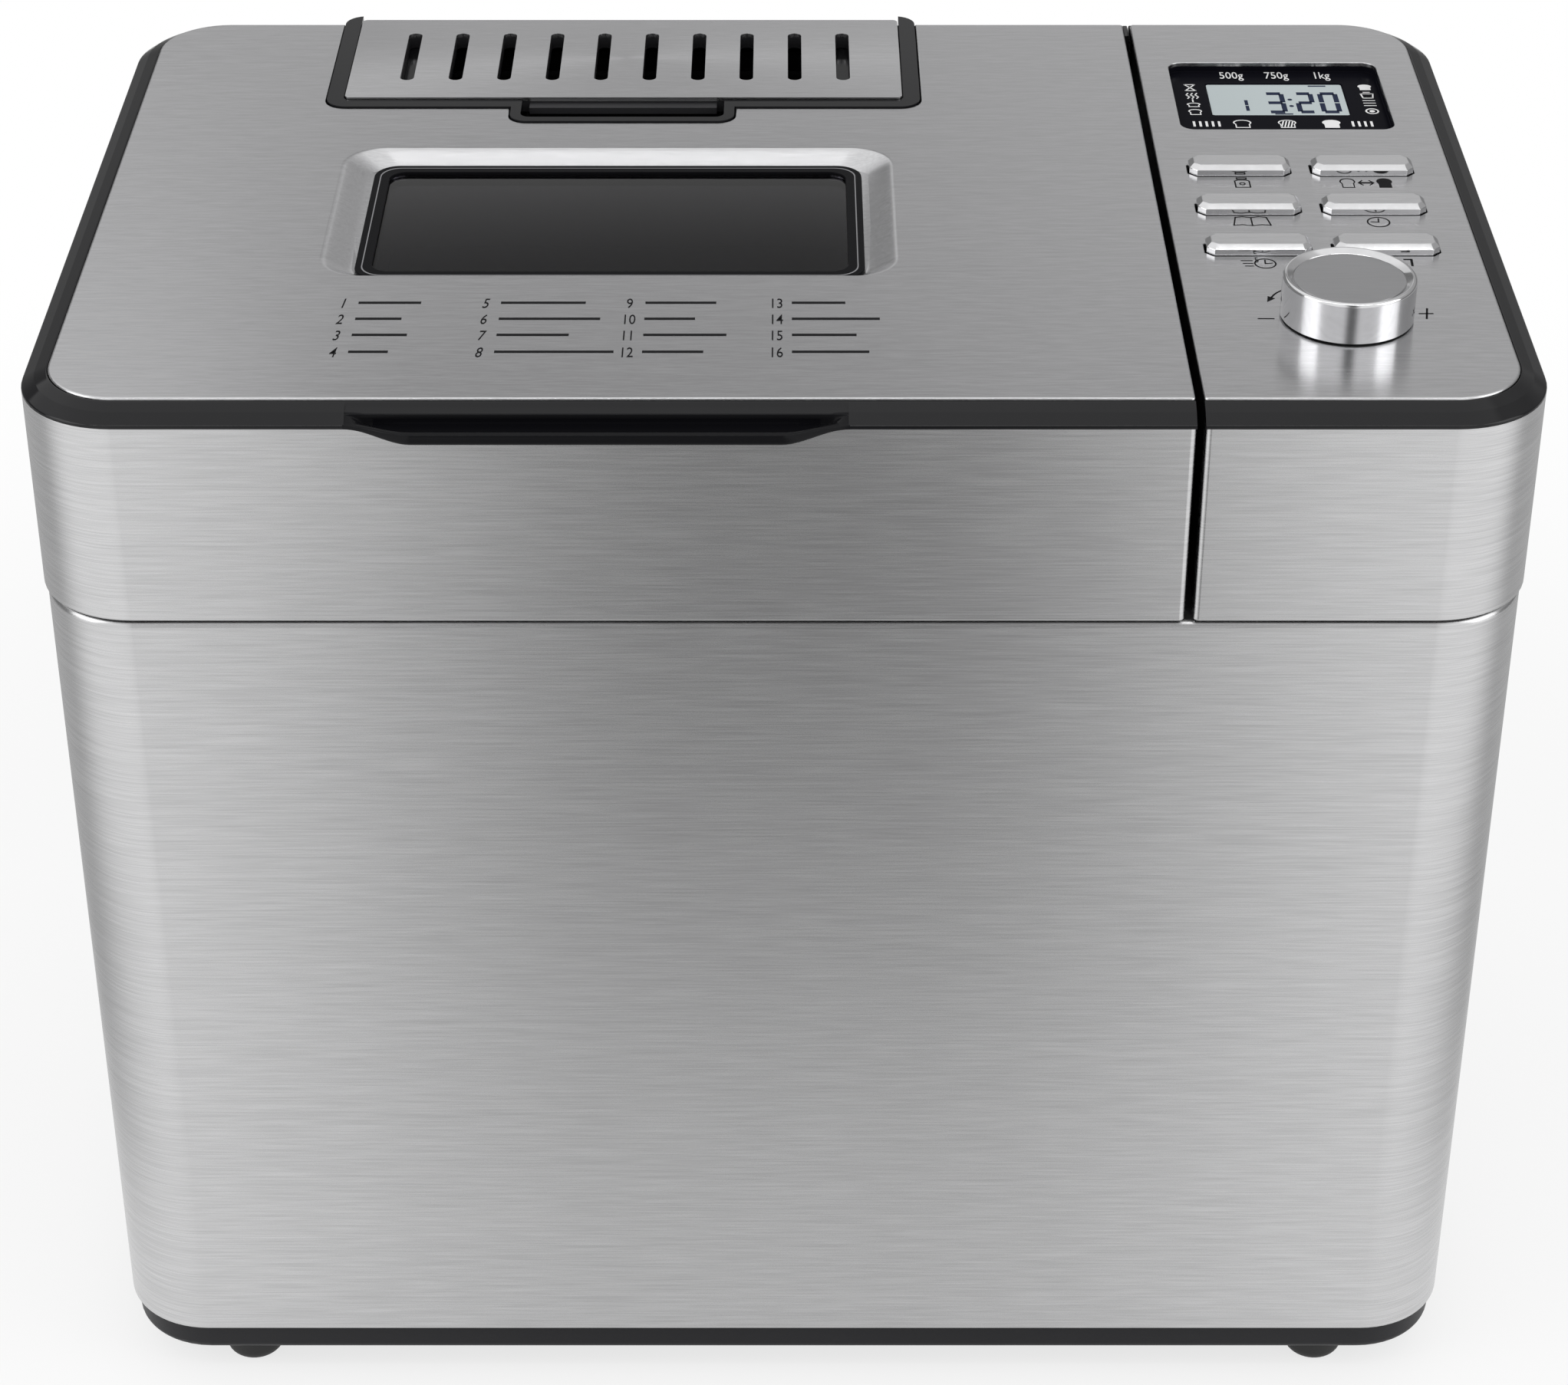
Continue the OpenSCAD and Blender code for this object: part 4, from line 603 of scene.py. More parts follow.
def smooth_faces(mesh: bmesh.types.BMesh, crease: float) -> None:
    """Shades a mesh smoothly.

    Args:
        mesh: The mesh.
        crease: Angle in degrees over which an edge stays sharp.
    """
    for edge in mesh.edges:
        edge.smooth = len(edge.link_faces) == 2 and edge.calc_face_angle(0.0) < math.radians(crease)
    for face in mesh.faces:
        face.smooth = True


def add_object(name: str, data: bpy.types.ID) -> bpy.types.Object:
    """Makes an object and links it to the scene.

    Args:
        name: The object's name.
        data: Its mesh, curve, camera or lamp.

    Returns:
        The object.
    """
    obj = bpy.data.objects.new(name, data)
    bpy.context.scene.collection.objects.link(obj)
    return obj


def mount(obj: bpy.types.Object, body: str, replaces: Sequence[str]) -> None:
    """Ties a piece to the frame.

    Args:
        obj: The piece.
        body: The body that it rides on.
        replaces: Nodes that it stands for.
    """
    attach(obj, body)
    if replaces:
        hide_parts(*replaces)
    LOG.info("made %s", obj.name)


class Skin:
    """Gathers a piece's surface in millimetres and turns it into an object that rides on a body."""

    join_gap: float = 0.0005

    def __init__(self) -> None:
        """Starts an empty surface."""
        self.mesh = bmesh.new()

    def ring(self, points: Iterable[Sequence[float]], z: Optional[float] = None) -> list[bmesh.types.BMVert]:
        """Adds a row of points, which hold their own heights unless one is given for all of them."""
        return [self.mesh.verts.new((*p, z) if z is not None else p) for p in points]

    def bridge(self, rows: Sequence[list[bmesh.types.BMVert]], closed: bool = True) -> None:
        """Joins each row to the next with four-sided faces.

        Args:
            rows: Rows of equal length.
            closed: Whether each row's end meets its start.
        """
        for low, high in zip(rows, rows[1:]):
            count = len(low)
            for i in range(count if closed else count - 1):
                j = (i + 1) % count
                self.mesh.faces.new((low[i], low[j], high[j], high[i]))

    def fill(self, *rings: list[bmesh.types.BMVert]) -> None:
        """Fills a face.

        Args:
            rings: Its outer ring, and then the rings that are left open as holes.
        """
        vertices = [v for ring in rings for v in ring]
        for corners in tessellate_polygon([[v.co for v in ring] for ring in rings]):
            self.mesh.faces.new([vertices[i] for i in corners])

    def loft(self, rows: Sequence[list[bmesh.types.BMVert]]) -> None:
        """Joins rows into a tube with closed ends.

        Args:
            rows: Rows of equal length, each of which meets its own start.
        """
        self.bridge(rows)
        for end in (rows[0], rows[-1]):
            self.fill(end)

    def sweep(self, path: Outline, profile: Sequence[Point]) -> None:
        """Carries a closed profile of (outwards, up) points along a path.

        Args:
            path: The path in plan.
            profile: The closed profile.
        """
        rows = [self.ring(path.points(out), z) for out, z in profile]
        self.bridge([*rows, rows[0]], path.closed)
        if not path.closed:
            for end in (0, -1):
                self.fill([row[end] for row in rows])

    def slab(self, outer: Outline, holes: Sequence[Outline], z0: float, z1: float,
             edge: float, hole_edge: float = 0.2) -> None:
        """Adds a plate with softened top edges.

        Args:
            outer: Its outline.
            holes: Outlines of its holes.
            z0: Lower level.
            z1: Upper level.
            edge: Radius of the outer top edge.
            hole_edge: Radius of the holes' top edges.
        """
        tops, bottoms = [], []
        for outline, radius, side in [(outer, edge, -1), *[(hole, hole_edge, 1) for hole in holes]]:
            rows = [self.ring(outline.points(), z0)]
            rows += [self.ring(outline.points(side * i), z1 - radius + up) for i, up in arc(radius)]
            self.bridge(rows)
            tops.append(rows[-1])
            bottoms.append(rows[0])
        self.fill(*tops)
        self.fill(*bottoms)

    def lathe(self, centre: Point, profile: Sequence[Point], steps: int = 96) -> None:
        """Turns a profile of (radius, height) points round an upright axis and closes its ends."""
        self.loft([self.ring(circle(centre, radius, steps), z) for radius, z in profile])

    def piece(self, name: str, body: str, finish: Finish, slot: str, replaces: Sequence[str] = (),
              crease: float = 35.0, level_grain: bool = False) -> None:
        """Makes the object.

        Args:
            name: The piece's name.
            body: The body that it rides on.
            finish: Its finish.
            slot: The record's material slot; not used.
            replaces: Nodes that it stands for.
            crease: Angle in degrees over which an edge stays sharp.
            level_grain: Whether its brush marks run across the machine's width on a level face.
        """
        bmesh.ops.remove_doubles(self.mesh, verts=self.mesh.verts, dist=self.join_gap)
        bmesh.ops.dissolve_degenerate(self.mesh, edges=self.mesh.edges, dist=self.join_gap)
        bmesh.ops.recalc_face_normals(self.mesh, faces=self.mesh.faces)
        smooth_faces(self.mesh, crease)
        bmesh.ops.scale(self.mesh, vec=(MM, MM, MM), verts=self.mesh.verts)
        data = bpy.data.meshes.new(name)
        self.mesh.to_mesh(data)
        self.mesh.free()
        data.materials.append(finish.material())
        if level_grain:
            # Highlights are drawn out round this far-off axis, so in one direction all over the piece
            data.use_auto_texspace = False
            data.texspace_location = (0.0, -50.0, 0.0)
        obj = add_object(name, data)
        obj.modifiers.new("edge_shading", "WEIGHTED_NORMAL").keep_sharp = True
        mount(obj, body, replaces)


class Ink(Skin):
    """Printed marks: thin raised strokes, discs and numbers on a level face."""

    overrun: float = 0.6
    digit_share: float = 0.7
    weight: float = 0.004

    def __init__(self, level: float, width: float = 0.35, film: float = 0.03, front: float = 0.0) -> None:
        """Starts a print.

        Args:
            level: Height of the face that's printed on.
            width: Usual width of a stroke.
            film: Thickness of the ink.
            front: Where the marks' y is counted from.
        """
        super().__init__()
        self.level, self.width, self.film, self.front = level, width, film, front

    def shape(self, points: Sequence[Point], holes: Sequence[Sequence[Point]] = ()) -> None:
        """Prints a filled shape.

        Args:
            points: The shape's corners.
            holes: Corners of openings in it.
        """
        tops, bottoms = [], []
        for outline in (points, *holes):
            ring = [(x, self.front + y) for x, y in outline]
            low, high = self.ring(ring, self.level - self.film), self.ring(ring, self.level + self.film)
            self.bridge([low, high])
            tops.append(high)
            bottoms.append(low)
        self.fill(*tops)
        self.fill(*bottoms)

    def line(self, *points: Point, width: Optional[float] = None) -> None:
        """Prints a run of straight strokes.

        Args:
            points: The run's corners.
            width: Its width, if it isn't the usual one.
        """
        half = (width or self.width) / 2
        for (x0, y0), (x1, y1) in zip(points, points[1:]):
            along = Vector((x1 - x0, y1 - y0)).normalized() * half
            across = Vector((along.y, -along.x))
            a, b = Vector((x0, y0)) - along * self.overrun, Vector((x1, y1)) + along * self.overrun
            self.shape([a + across, b + across, b - across, a - across])

    def disc(self, centre: Point, radius: float, hole: float = 0.0, steps: int = 24) -> None:
        """Prints a disc, or a ring round a hole of the given radius."""
        self.shape(circle(centre, radius, steps), [circle(centre, hole, steps)] if hole else ())

    def number(self, text: str, middle: Point, height: float, squeeze: float, lean: float = 0.0) -> None:
        """Prints digits or plain letters.

        Args:
            text: What is printed.
            middle: The middle of its baseline.
            height: Height of a digit.
            squeeze: Share of the letters' own width that is kept.
            lean: Slant of the digits.
        """
        curve = bpy.data.curves.new("digits", "FONT")
        curve.body, curve.size, curve.shear = text, height / self.digit_share, lean
        curve.align_x, curve.resolution_u = "CENTER", 3
        curve.extrude, curve.offset = self.film, height * self.weight
        holder = add_object("digits", curve)
        data = bpy.data.meshes.new_from_object(holder.evaluated_get(bpy.context.evaluated_depsgraph_get()))
        to_place = Matrix.Translation((middle[0], self.front + middle[1], self.level))
        data.transform(to_place @ Matrix.Diagonal((squeeze, 1.0, 1.0, 1.0)))
        self.mesh.from_mesh(data)
        bpy.data.objects.remove(holder)
        bpy.data.curves.remove(curve)
        bpy.data.meshes.remove(data)

    def loaf(self, lo: Point, hi: Point, fill: float = 0.0) -> None:
        """Prints a loaf of bread.

        Args:
            lo: Lower left corner of its block.
            hi: Upper right corner of its block.
            fill: 0 for an outline, 1 for solid, and between them an outline with four slashes.
        """
        side = ((0.1, 0.0), (0.1, 0.46), (0.02, 0.56), (0.0, 0.7), (0.07, 0.84), (0.2, 0.94), (0.4, 1.0))
        unit = [*side, *[(1.0 - a, b) for a, b in reversed(side)]]
        size = hi[0] - lo[0], hi[1] - lo[1]
        edge, inner = (
            [tuple(lo[i] + size[i] * (0.5 + (p[i] - 0.5) * (1.0 - 2.0 * wall / size[i])) for i in (0, 1))
             for p in unit] for wall in (0.0, self.width))
        self.shape(edge, () if fill >= 1.0 else (inner,))
        for k in range(4 if 0 < fill < 1 else 0):
            at, lean = lo[0] + size[0] * (0.24 + 0.17 * k), size[0] * 0.08
            self.line((at - lean, lo[1] + size[1] * 0.12), (at + lean, lo[1] + size[1] * 0.84))


# ---------------------------------------------------------------- the carried-over solids

SOFT_CREASE = 30.0


def dress_node(name: str, finish: Finish) -> None:
    """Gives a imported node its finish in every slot.

    Args:
        name: The node.
        finish: Its finish.
    """
    obj = FRAME["nodes"][name]
    if not obj.material_slots:
        obj.data.materials.append(finish.material())
    for slot in obj.material_slots:
        slot.material = finish.material()
    LOG.info("dressed %s", name)


def soften(node: str, finish: Finish, width: float) -> None:
    """Shows a node with its sharp edges rounded.

    Args:
        node: The CAD node.
        finish: Its finish.
        width: Width of the rounding in millimetres.
    """
    source = FRAME["nodes"][node]
    data = source.data.copy()
    mesh = bmesh.new()
    mesh.from_mesh(data)
    bmesh.ops.remove_doubles(mesh, verts=mesh.verts, dist=0.01 * MM)
    bmesh.ops.dissolve_limit(mesh, angle_limit=math.radians(1.0), verts=mesh.verts, edges=mesh.edges)
    smooth_faces(mesh, SOFT_CREASE)
    mesh.to_mesh(data)
    mesh.free()
    data.materials.clear()
    data.materials.append(finish.material())
    obj = add_object(f"{node}_soft", data)
    bevel = obj.modifiers.new("rounded_edges", "BEVEL")
    bevel.width, bevel.segments = width * MM, 3
    bevel.limit_method, bevel.angle_limit = "ANGLE", math.radians(SOFT_CREASE)
    bevel.harden_normals = True
    mount(obj, source["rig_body"], [node])


# ---------------------------------------------------------------- studio


@dataclass
class Studio:
    """Camera, floor, lamps and surroundings, in metres, degrees and watts."""

    lens: float = 86.32
    sensor: float = 36.0
    clip: float = 0.05
    eye: Spot = (0.0, -0.947355, 0.757118)
    pitch: float = 57.57
    floor_half: float = 1.5
    light_level: float = 0.8

    def camera(self) -> None:
        """Sets up the camera."""
        data = bpy.data.cameras.new("camera")
        data.lens, data.sensor_width, data.clip_start = self.lens, self.sensor, self.clip
        camera = bpy.context.scene.camera = add_object("camera", data)
        camera.location = self.eye
        camera.rotation_euler = (math.radians(self.pitch), 0.0, 0.0)

    def lamp(self, name: str, spot: Spot, aim: Spot, size: Point, power: float) -> None:
        """Adds a soft rectangular lamp.

        Args:
            name: The lamp's name.
            spot: Where it stands.
            aim: The point it faces.
            size: Its width and height.
            power: Its power.
        """
        data = bpy.data.lights.new(name, "AREA")
        data.shape, data.energy = "RECTANGLE", power
        data.size, data.size_y = size
        lamp = add_object(name, data)
        lamp.location = spot
        lamp.rotation_euler = (Vector(aim) - Vector(spot)).to_track_quat("-Z", "Y").to_euler()

    def surroundings(self) -> None:
        """Makes the world: white to the camera, a graded room in reflections, plain light for the rest."""
        world = bpy.context.scene.world = bpy.data.worlds.new("room")
        world.use_nodes = True
        world.cycles.sampling_method = "NONE"
        graph = Graph(world.node_tree)
        direction = graph.node("ShaderNodeTexCoord", {}, {}, "Generated")
        x, y, z = (graph.axis(direction, letter) for letter in "XYZ")
        aside, left, right = x.size(), (0.0 - x).step(0.11, 0.17), x.step(0.0, 0.09)
        # Behind the machine: a panel high on the left, a weaker one on the right, a paler wall below them
        over = 0.2 + 0.58 * left + 0.14 * right + 0.06 * x.step(0.13, 0.17) + 0.25 * z.step(0.5, 0.8)
        under = (0.42 + z.step(0.15, 0.3) * (0.3 - 0.36 * left)) * (1.0 - 0.45 * aside.step(0.2, 0.27))
        low = 1.0 - z.step(0.395, 0.44)
        behind = low * under + (1.0 - low) * over
        # In front of it: dark in the middle; straight above: white
        ahead = 0.16 + 0.84 * aside.step(0.04, 0.24)
        front, zenith = (0.0 - y).step(0.0, 0.4), z.step(0.8, 0.86)
        tone = (front * ahead + (1.0 - front) * behind) * (1.0 - zenith) + zenith
        room, seen, _ = graph.backdrop("ShaderNodeBackground", tone)
        light = graph.node("ShaderNodeBackground", {}, {"Color": WHITE, "Strength": self.light_level})
        both = graph.node("ShaderNodeMixShader", {}, {0: seen, 1: light, 2: room})
        graph.show("ShaderNodeOutputWorld", both)

    def floor(self) -> None:
        """Lays the floor."""
        half = self.floor_half
        corners = [(-half, -half, 0), (half, -half, 0), (half, half, 0), (-half, half, 0)]
        mesh = bpy.data.meshes.new("floor")
        mesh.from_pydata(corners, [], [(0, 1, 2, 3)])
        mesh.materials.append(STUDIO_FLOOR.material())
        mesh.materials[0].cycles.emission_sampling = "NONE"
        floor = add_object("floor", mesh)

    def build(self) -> None:
        """Builds the studio."""
        bpy.context.scene.view_settings.view_transform = "Standard"
        self.camera()
        self.surroundings()
        self.floor()
        for name, x in (("left_softbox", -1.5), ("right_softbox", 1.5)):
            self.lamp(name, (x, -0.6, 1.0), (0, 0, 0.15), (1.0, 1.4), 6.0)
        self.lamp("strip_light", (0.0, -0.76, 1.75), (0, 0, 0.3), (1.8, 0.05), 2.4)


# ---------------------------------------------------------------- body and base

CORNER = 26.0
SHEET = 0.8
SEAT = 0.2


@dataclass
class Body:
    """The steel wrap, the black back and what stands under them."""

    roll: float = 2.0
    flange: float = 7.0
    panel_half: float = 160.0
    step_in: float = 0.8
    panel_edge: float = 0.15
    fitting_edge: float = 0.4

    def build(self) -> None:
        """Builds the wrap and softens the moulded parts around it."""
        self._wrap()
        soften("rear_panel", REAR_STEEL, self.panel_edge)
        for node in ("cord_gland", "hinge_brackets", "hinge_knuckles"):
            soften(node, BLACK_SHELL, self.fitting_edge)

    def _wrap(self) -> None:
        """Sweeps the wrap's sheet, rolled inwards at the top."""
        box, half, radius = Block.of("body_wrap"), self.panel_half, CORNER - self.step_in
        path = Outline([(-half, box.hi.y, 0), (box.lo.x, box.hi.y, radius), (box.lo.x, box.lo.y, radius),
                        (box.hi.x, box.lo.y, radius), (box.hi.x, box.hi.y, radius), (half, box.hi.y, 0)],
                       closed=False, steps=16)
        top = box.hi.z
        outside = [(-i, top - self.roll + up) for i, up in arc(self.roll, 6)]
        inside = [(-SHEET - i, top - self.roll + up) for i, up in arc(self.roll - SHEET)]
        skin = Skin()
        skin.sweep(path, [(0.0, box.lo.z), *outside, (-self.flange, top), (-self.flange, top - SHEET),
                          *reversed(inside), (-SHEET, box.lo.z)])
        skin.piece("body_wrap_skin", "housing", FRONT_STEEL, "brushed_steel", ["body_wrap"])


# ---------------------------------------------------------------- lid and column outside


@dataclass
class Crown:
    """What the lid and the control column share: a steel skirt and a black rim, open at the gap."""

    side: str
    body: str
    skirt_edge: float = 0.7
    gap_radius: float = 1.5
    return_length: float = 5.0
    rim_width: float = 6.8
    rim_nose: float = 1.0
    plate_corner: float = 19.0
    plate_edge: float = 0.6

    @property
    def box(self) -> Block:
        """The skirt's block."""
        return Block.of(f"{self.side}_skirt")

    def corners(self, gap_radius: float = 0.0, ends: float = 0.0) -> list[Spot]:
        """Gives the open outline's corners, from the gap round the outside back to the gap.

        Args:
            gap_radius: Radius at the gap.
            ends: Length of the two returns along the gap, or 0 to end on the front and back.

        Returns:
            The corners.
        """
        lo, hi = self.box.lo, self.box.hi
        gap, outer, first, last = ((hi.x, lo.x, hi.y, lo.y) if self.side == "lid" else
                                   (lo.x, hi.x, lo.y, hi.y))
        run = [(gap, first, gap_radius), (outer, first, CORNER), (outer, last, CORNER),
               (gap, last, gap_radius)]
        back = math.copysign(ends, last - first)
        return [(gap, first + back, 0.0), *run, (gap, last - back, 0.0)] if ends else run

    def skirt(self) -> None:
        """Sweeps the steel skirt with a rolled lower edge."""
        lo, hi, r = self.box.lo, self.box.hi, self.skirt_edge
        low = [(-i, lo.z + r - up) for i, up in arc(r)]
        skin = Skin()
        skin.sweep(Outline(self.corners(self.gap_radius, self.return_length), False, 16),
                   [(0.0, hi.z), (-SHEET, hi.z), (-SHEET, lo.z), *reversed(low)])
        skin.piece(f"{self.side}_skirt_skin", self.body, FRONT_STEEL, "brushed_steel",
                   [f"{self.side}_skirt"])

    def rim_profile(self, start: float = 0.0) -> list[Point]:
        """Gives the rim's section as (outwards, up) pairs.

        Args:
            start: How far behind the skirt's face the section starts.

        Returns:
            The closed section.
        """
        w = self.rim_width
        nose = ([(-start, 2.5), (-start - 0.3, 2.68), (-5.0, 3.35), (-5.3, 3.55)] if start else
                [(0.0, 0.5), (-0.1, 0.78), (-0.4, self.rim_nose), (-3.3, 2.96), (-3.5, 3.07)])
        crest = [(-w + 0.7, 4.2), (-w + 0.42, 4.33), (-w + 0.2, 4.4), (-w + 0.05, 4.36), (-w, 4.25)]
        ledge = [(-w, 1.7), (-w - 1.8, 1.7), (-w - 1.8, 0.0)]
        return [(out, self.box.hi.z + up) for out, up in ((-start, 0.0), *nose, *crest, *ledge)]

    def rim_level(self, inwards: float) -> float:
        """Height of the rim's slope at a distance behind the skirt's face."""
        return self.box.hi.z + self.rim_nose + (inwards - 0.4) * 3.2 / (self.rim_width - 1.1)


@dataclass
class Lid(Crown):
    """The lid: steel top with its dished window, black rim and handle, and the legend."""

    side: str = "lid"
    body: str = "lid"
    plate_foot: float = 1.2
    pocket_half: float = 32.35
    pocket_lead: float = 5.4
    dish_side: float = 9.2
    dish_end: float = 5.2
    dish_depth: float = 4.0
    dish_curve: Sequence[Point] = ((0, 0), (0.1, 0.04), (0.22, 0.16), (0.5, 0.5), (0.78, 0.84), (0.9, 0.96),
                                   (1, 1))
    window_radius: float = 7.0
    handle_steps: int = 14
    handle_rise: float = 17.0
    handle_out: float = 5.0
    handle_floor: Point = (-2.9, 2.95)
    handle_section: Sequence[Point] = (
        (3.7, 2.6), (3.3, 2.52), (3.12, 2.3), (3.05, 1.4), (2.95, 0.5), (2.6, 0.14), (1.6, 0.16), (0.0, 0.4),
        (-1.6, 0.62), (-2.9, 0.72), (-3.2, 0.8), (-3.45, 1.02), (-3.8, 1.12), (-4.3, 1.12), (-4.7, 0.98),
        (-4.93, 0.7), (-5.0, 0.3), (-5.0, -1.0), (-4.85, -1.65), (-4.4, -2.0), (-3.6, -2.1), (-0.1, -2.1),
        (-0.1, -0.1), (3.7, -0.1))

    def build(self) -> None:
        """Builds every outside piece of the lid."""
        self.skirt()
        self._rim()
        self._handle()
        self._plate()
        self._legend()
        soften("window_gasket", GASKET, 0.25)
        soften("window_panes", PANE, 0.3)
        around = Block.of("window_gasket")
        # A pale grey ring just inside the gasket: painted highlight along the glass's edge
        edge_highlight = Ink(around.hi.z, film=0.04)
        outer, inner = (Outline.inside(around, inset, inset, 5.5, 8).points() for inset in (1.7, 2.0))
        edge_highlight.shape(outer, [inner])
        edge_highlight.piece("window_edge_highlight", "lid", GLASS_EDGE_HIGHLIGHT, "glass")

    def _rim(self) -> None:
        """Sweeps the rim in three runs: it's cut down where the handle sits."""
        handle, front, whole = Block.of("lid_handle"), self.box.lo.y, self.corners()
        left, right = (handle.lo.x + 0.3, front, 0.0), (handle.hi.x - 0.3, front, 0.0)
        skin = Skin()
        for path, start in (([*whole[:3], left], 0.0), ([left, right], 3.4), ([right, whole[3]], 0.0)):
            skin.sweep(Outline(path, False, 16), self.rim_profile(start))
        skin.piece("lid_rim_skin", "lid", BLACK_RIM, "black_rim", ["lid_rim"])

    def _handle_row(self, x: float, share: float) -> list[Spot]:
        """Blends the handle's section with the rim's slope.

        Args:
            x: Where the row stands.
            share: 0 for the rim's own slope and 1 for the full handle.

        Returns:
            The row's points.
        """
        foot, front = self.box.hi.z, self.box.lo.y
        lip, heel = self.handle_floor
        back, span = self.handle_out * (1.0 - share), heel - lip
        row = []
        for y, up in self.handle_section:
            on_top = up > 0.25 or y > 0
            floor = heel - (heel - min(y, heel)) * (span - back) / span
            depth = y + back if y < lip else floor + max(y - heel, 0)
            rest = self.rim_level(min(max(depth, 0.4), 6.0)) - 0.02 if on_top else foot
            pull = min(1.0, share * 5.0) if on_top else share
            row.append((x, front + max(depth, -self.handle_out), rest + (foot + up - rest) * pull))
        return row

    def _handle(self) -> None:
        """Lofts the handle out of the rim with S-shaped ends, and lays a matt black sheet in its recess as
        painted shade.
        """
        box, rises = Block.of("lid_handle"), [k / self.handle_steps for k in range(self.handle_steps + 1)]
        places = [(-box.half.x + self.handle_rise * t, t) for t in rises]
        places += [(box.half.x - self.handle_rise * t, t) for t in reversed(rises)]
        rows = [self._handle_row(box.mid.x + x, t * t * (3 - 2 * t)) for x, t in places]
        skin = Skin()
        skin.loft([skin.ring(row) for row in rows])
        skin.piece("lid_handle_skin", "lid", BLACK_TRIM, "black_rim", ["lid_handle"], 50.0)
        # A thin matt black sheet over the recess's riser and floor: painted shade, darker than the handle's
        # own plastic
        shade_sheet = Skin()
        floors = [row[3:10] for row, (_, t) in zip(rows, places) if t > 0.4]
        shade_sheet.loft([shade_sheet.ring([*[(x, y - 0.03, z + 0.03) for x, y, z in row],
                              *[(x, y + 0.05, z - 0.05) for x, y, z in reversed(row)]]) for row in floors])
        shade_sheet.piece("handle_painted_shade", "lid", PAINTED_SHADE_BLACK, "black_shell", (), 50.0)

    def _plate(self) -> None:
        """Stamps the top plate: a notch for the dispenser and a soft dish down to the window."""
        box, around, flap = Block.of("lid_plate"), Block.of("dispenser_surround"), Block.of("flap_plate")
        glass, r, top = Block.of("window_gasket"), self.plate_corner, box.hi.z
        left, right, front = around.lo.x - SEAT, around.hi.x + SEAT, flap.lo.y - self.pocket_lead
        pocket_left, pocket_right = flap.mid.x - self.pocket_half, flap.mid.x + self.pocket_half
        pocket = around.lo.y - SEAT
        outer = Outline([
            (box.lo.x, box.lo.y, r), (box.hi.x, box.lo.y, 1.0), (box.hi.x, box.hi.y, 1.0),
            (right, box.hi.y, 0.0), (right, front, 6.0), (pocket_right, front, 0.0),
            (pocket_right, pocket, 5.0), (pocket_left, pocket, 5.0), (pocket_left, front, 0.0),
            (left, front, 6.0), (left, box.hi.y, 0.0), (box.lo.x, box.hi.y, r)], True, 12)
        skin = Skin()
        edge = [skin.ring(outer.points(), top - self.plate_foot)]
        edge += [skin.ring(outer.points(-i), top - self.plate_edge + up) for i, up in arc(self.plate_edge)]
        dish = []
        for share, depth in smooth_chain(self.dish_curve, 3):
            side, end = self.dish_side * (1 - share), self.dish_end * (1 - share)
            outline = Outline.inside(glass, 0.1 - side, 0.1 - end, self.window_radius + side / 2, 12)
            dish.append(skin.ring(outline.points(), top - self.dish_depth * depth))
        dish.append(skin.ring(Outline.inside(glass, 1.1, 1.1, 6.0, 12).points(), top - self.dish_depth))
        skin.bridge(edge)
        skin.bridge(dish)
        skin.fill(edge[-1], dish[0])
        skin.fill(edge[0], dish[-1])
        skin.piece("lid_plate_skin", "lid", TOP_STEEL, "brushed_steel", ["lid_plate"], 40.0, True)

    def _legend(self) -> None:
        """Prints the numbered rows in front of the window, each number with a bar beside it."""
        ink = Ink(Block.of("lid_plate").hi.z, 1.3, front=self.box.lo.y)
        rows, lengths = (59.6, 50.4, 41.3, 31.9), (1.0, 0.72, 0.86, 0.6)
        columns = ((-114.5, -95.0, 0.2), (-77.5, -44.0, 0.2), (-40.0, -15.5, 0.0), (-2.0, 23.9, 0.0))
        for column, (x, end, lean) in enumerate(columns):
            for row, y in enumerate(rows):
                ink.number(str(column * len(rows) + row + 1), (x, y - 2.8), 5.4, 0.48, lean)
                length = (end - x - 4.0) * lengths[(row + column) % len(lengths)]
                ink.line((x + 4.4, y + 0.15), (x + 4.4 + length, y + 0.15))
        ink.piece("lid_legend", "lid", DARK_INK, "black_panel")


@dataclass
class Dispenser:
    """The black surround with its finger pocket, and the slotted flap."""

    surround_edge: float = 0.7
    flap_edge: float = 0.38
    frame_edge: float = 0.3

    def build(self) -> None:
        """Softens the moulded and stamped parts."""
        soften("dispenser_surround", BLACK_TRIM, self.surround_edge)
        soften("flap_plate", TOP_STEEL, self.flap_edge)
        soften("flap_frame", BLACK_SHELL, self.frame_edge)


# ---------------------------------------------------------------- control column


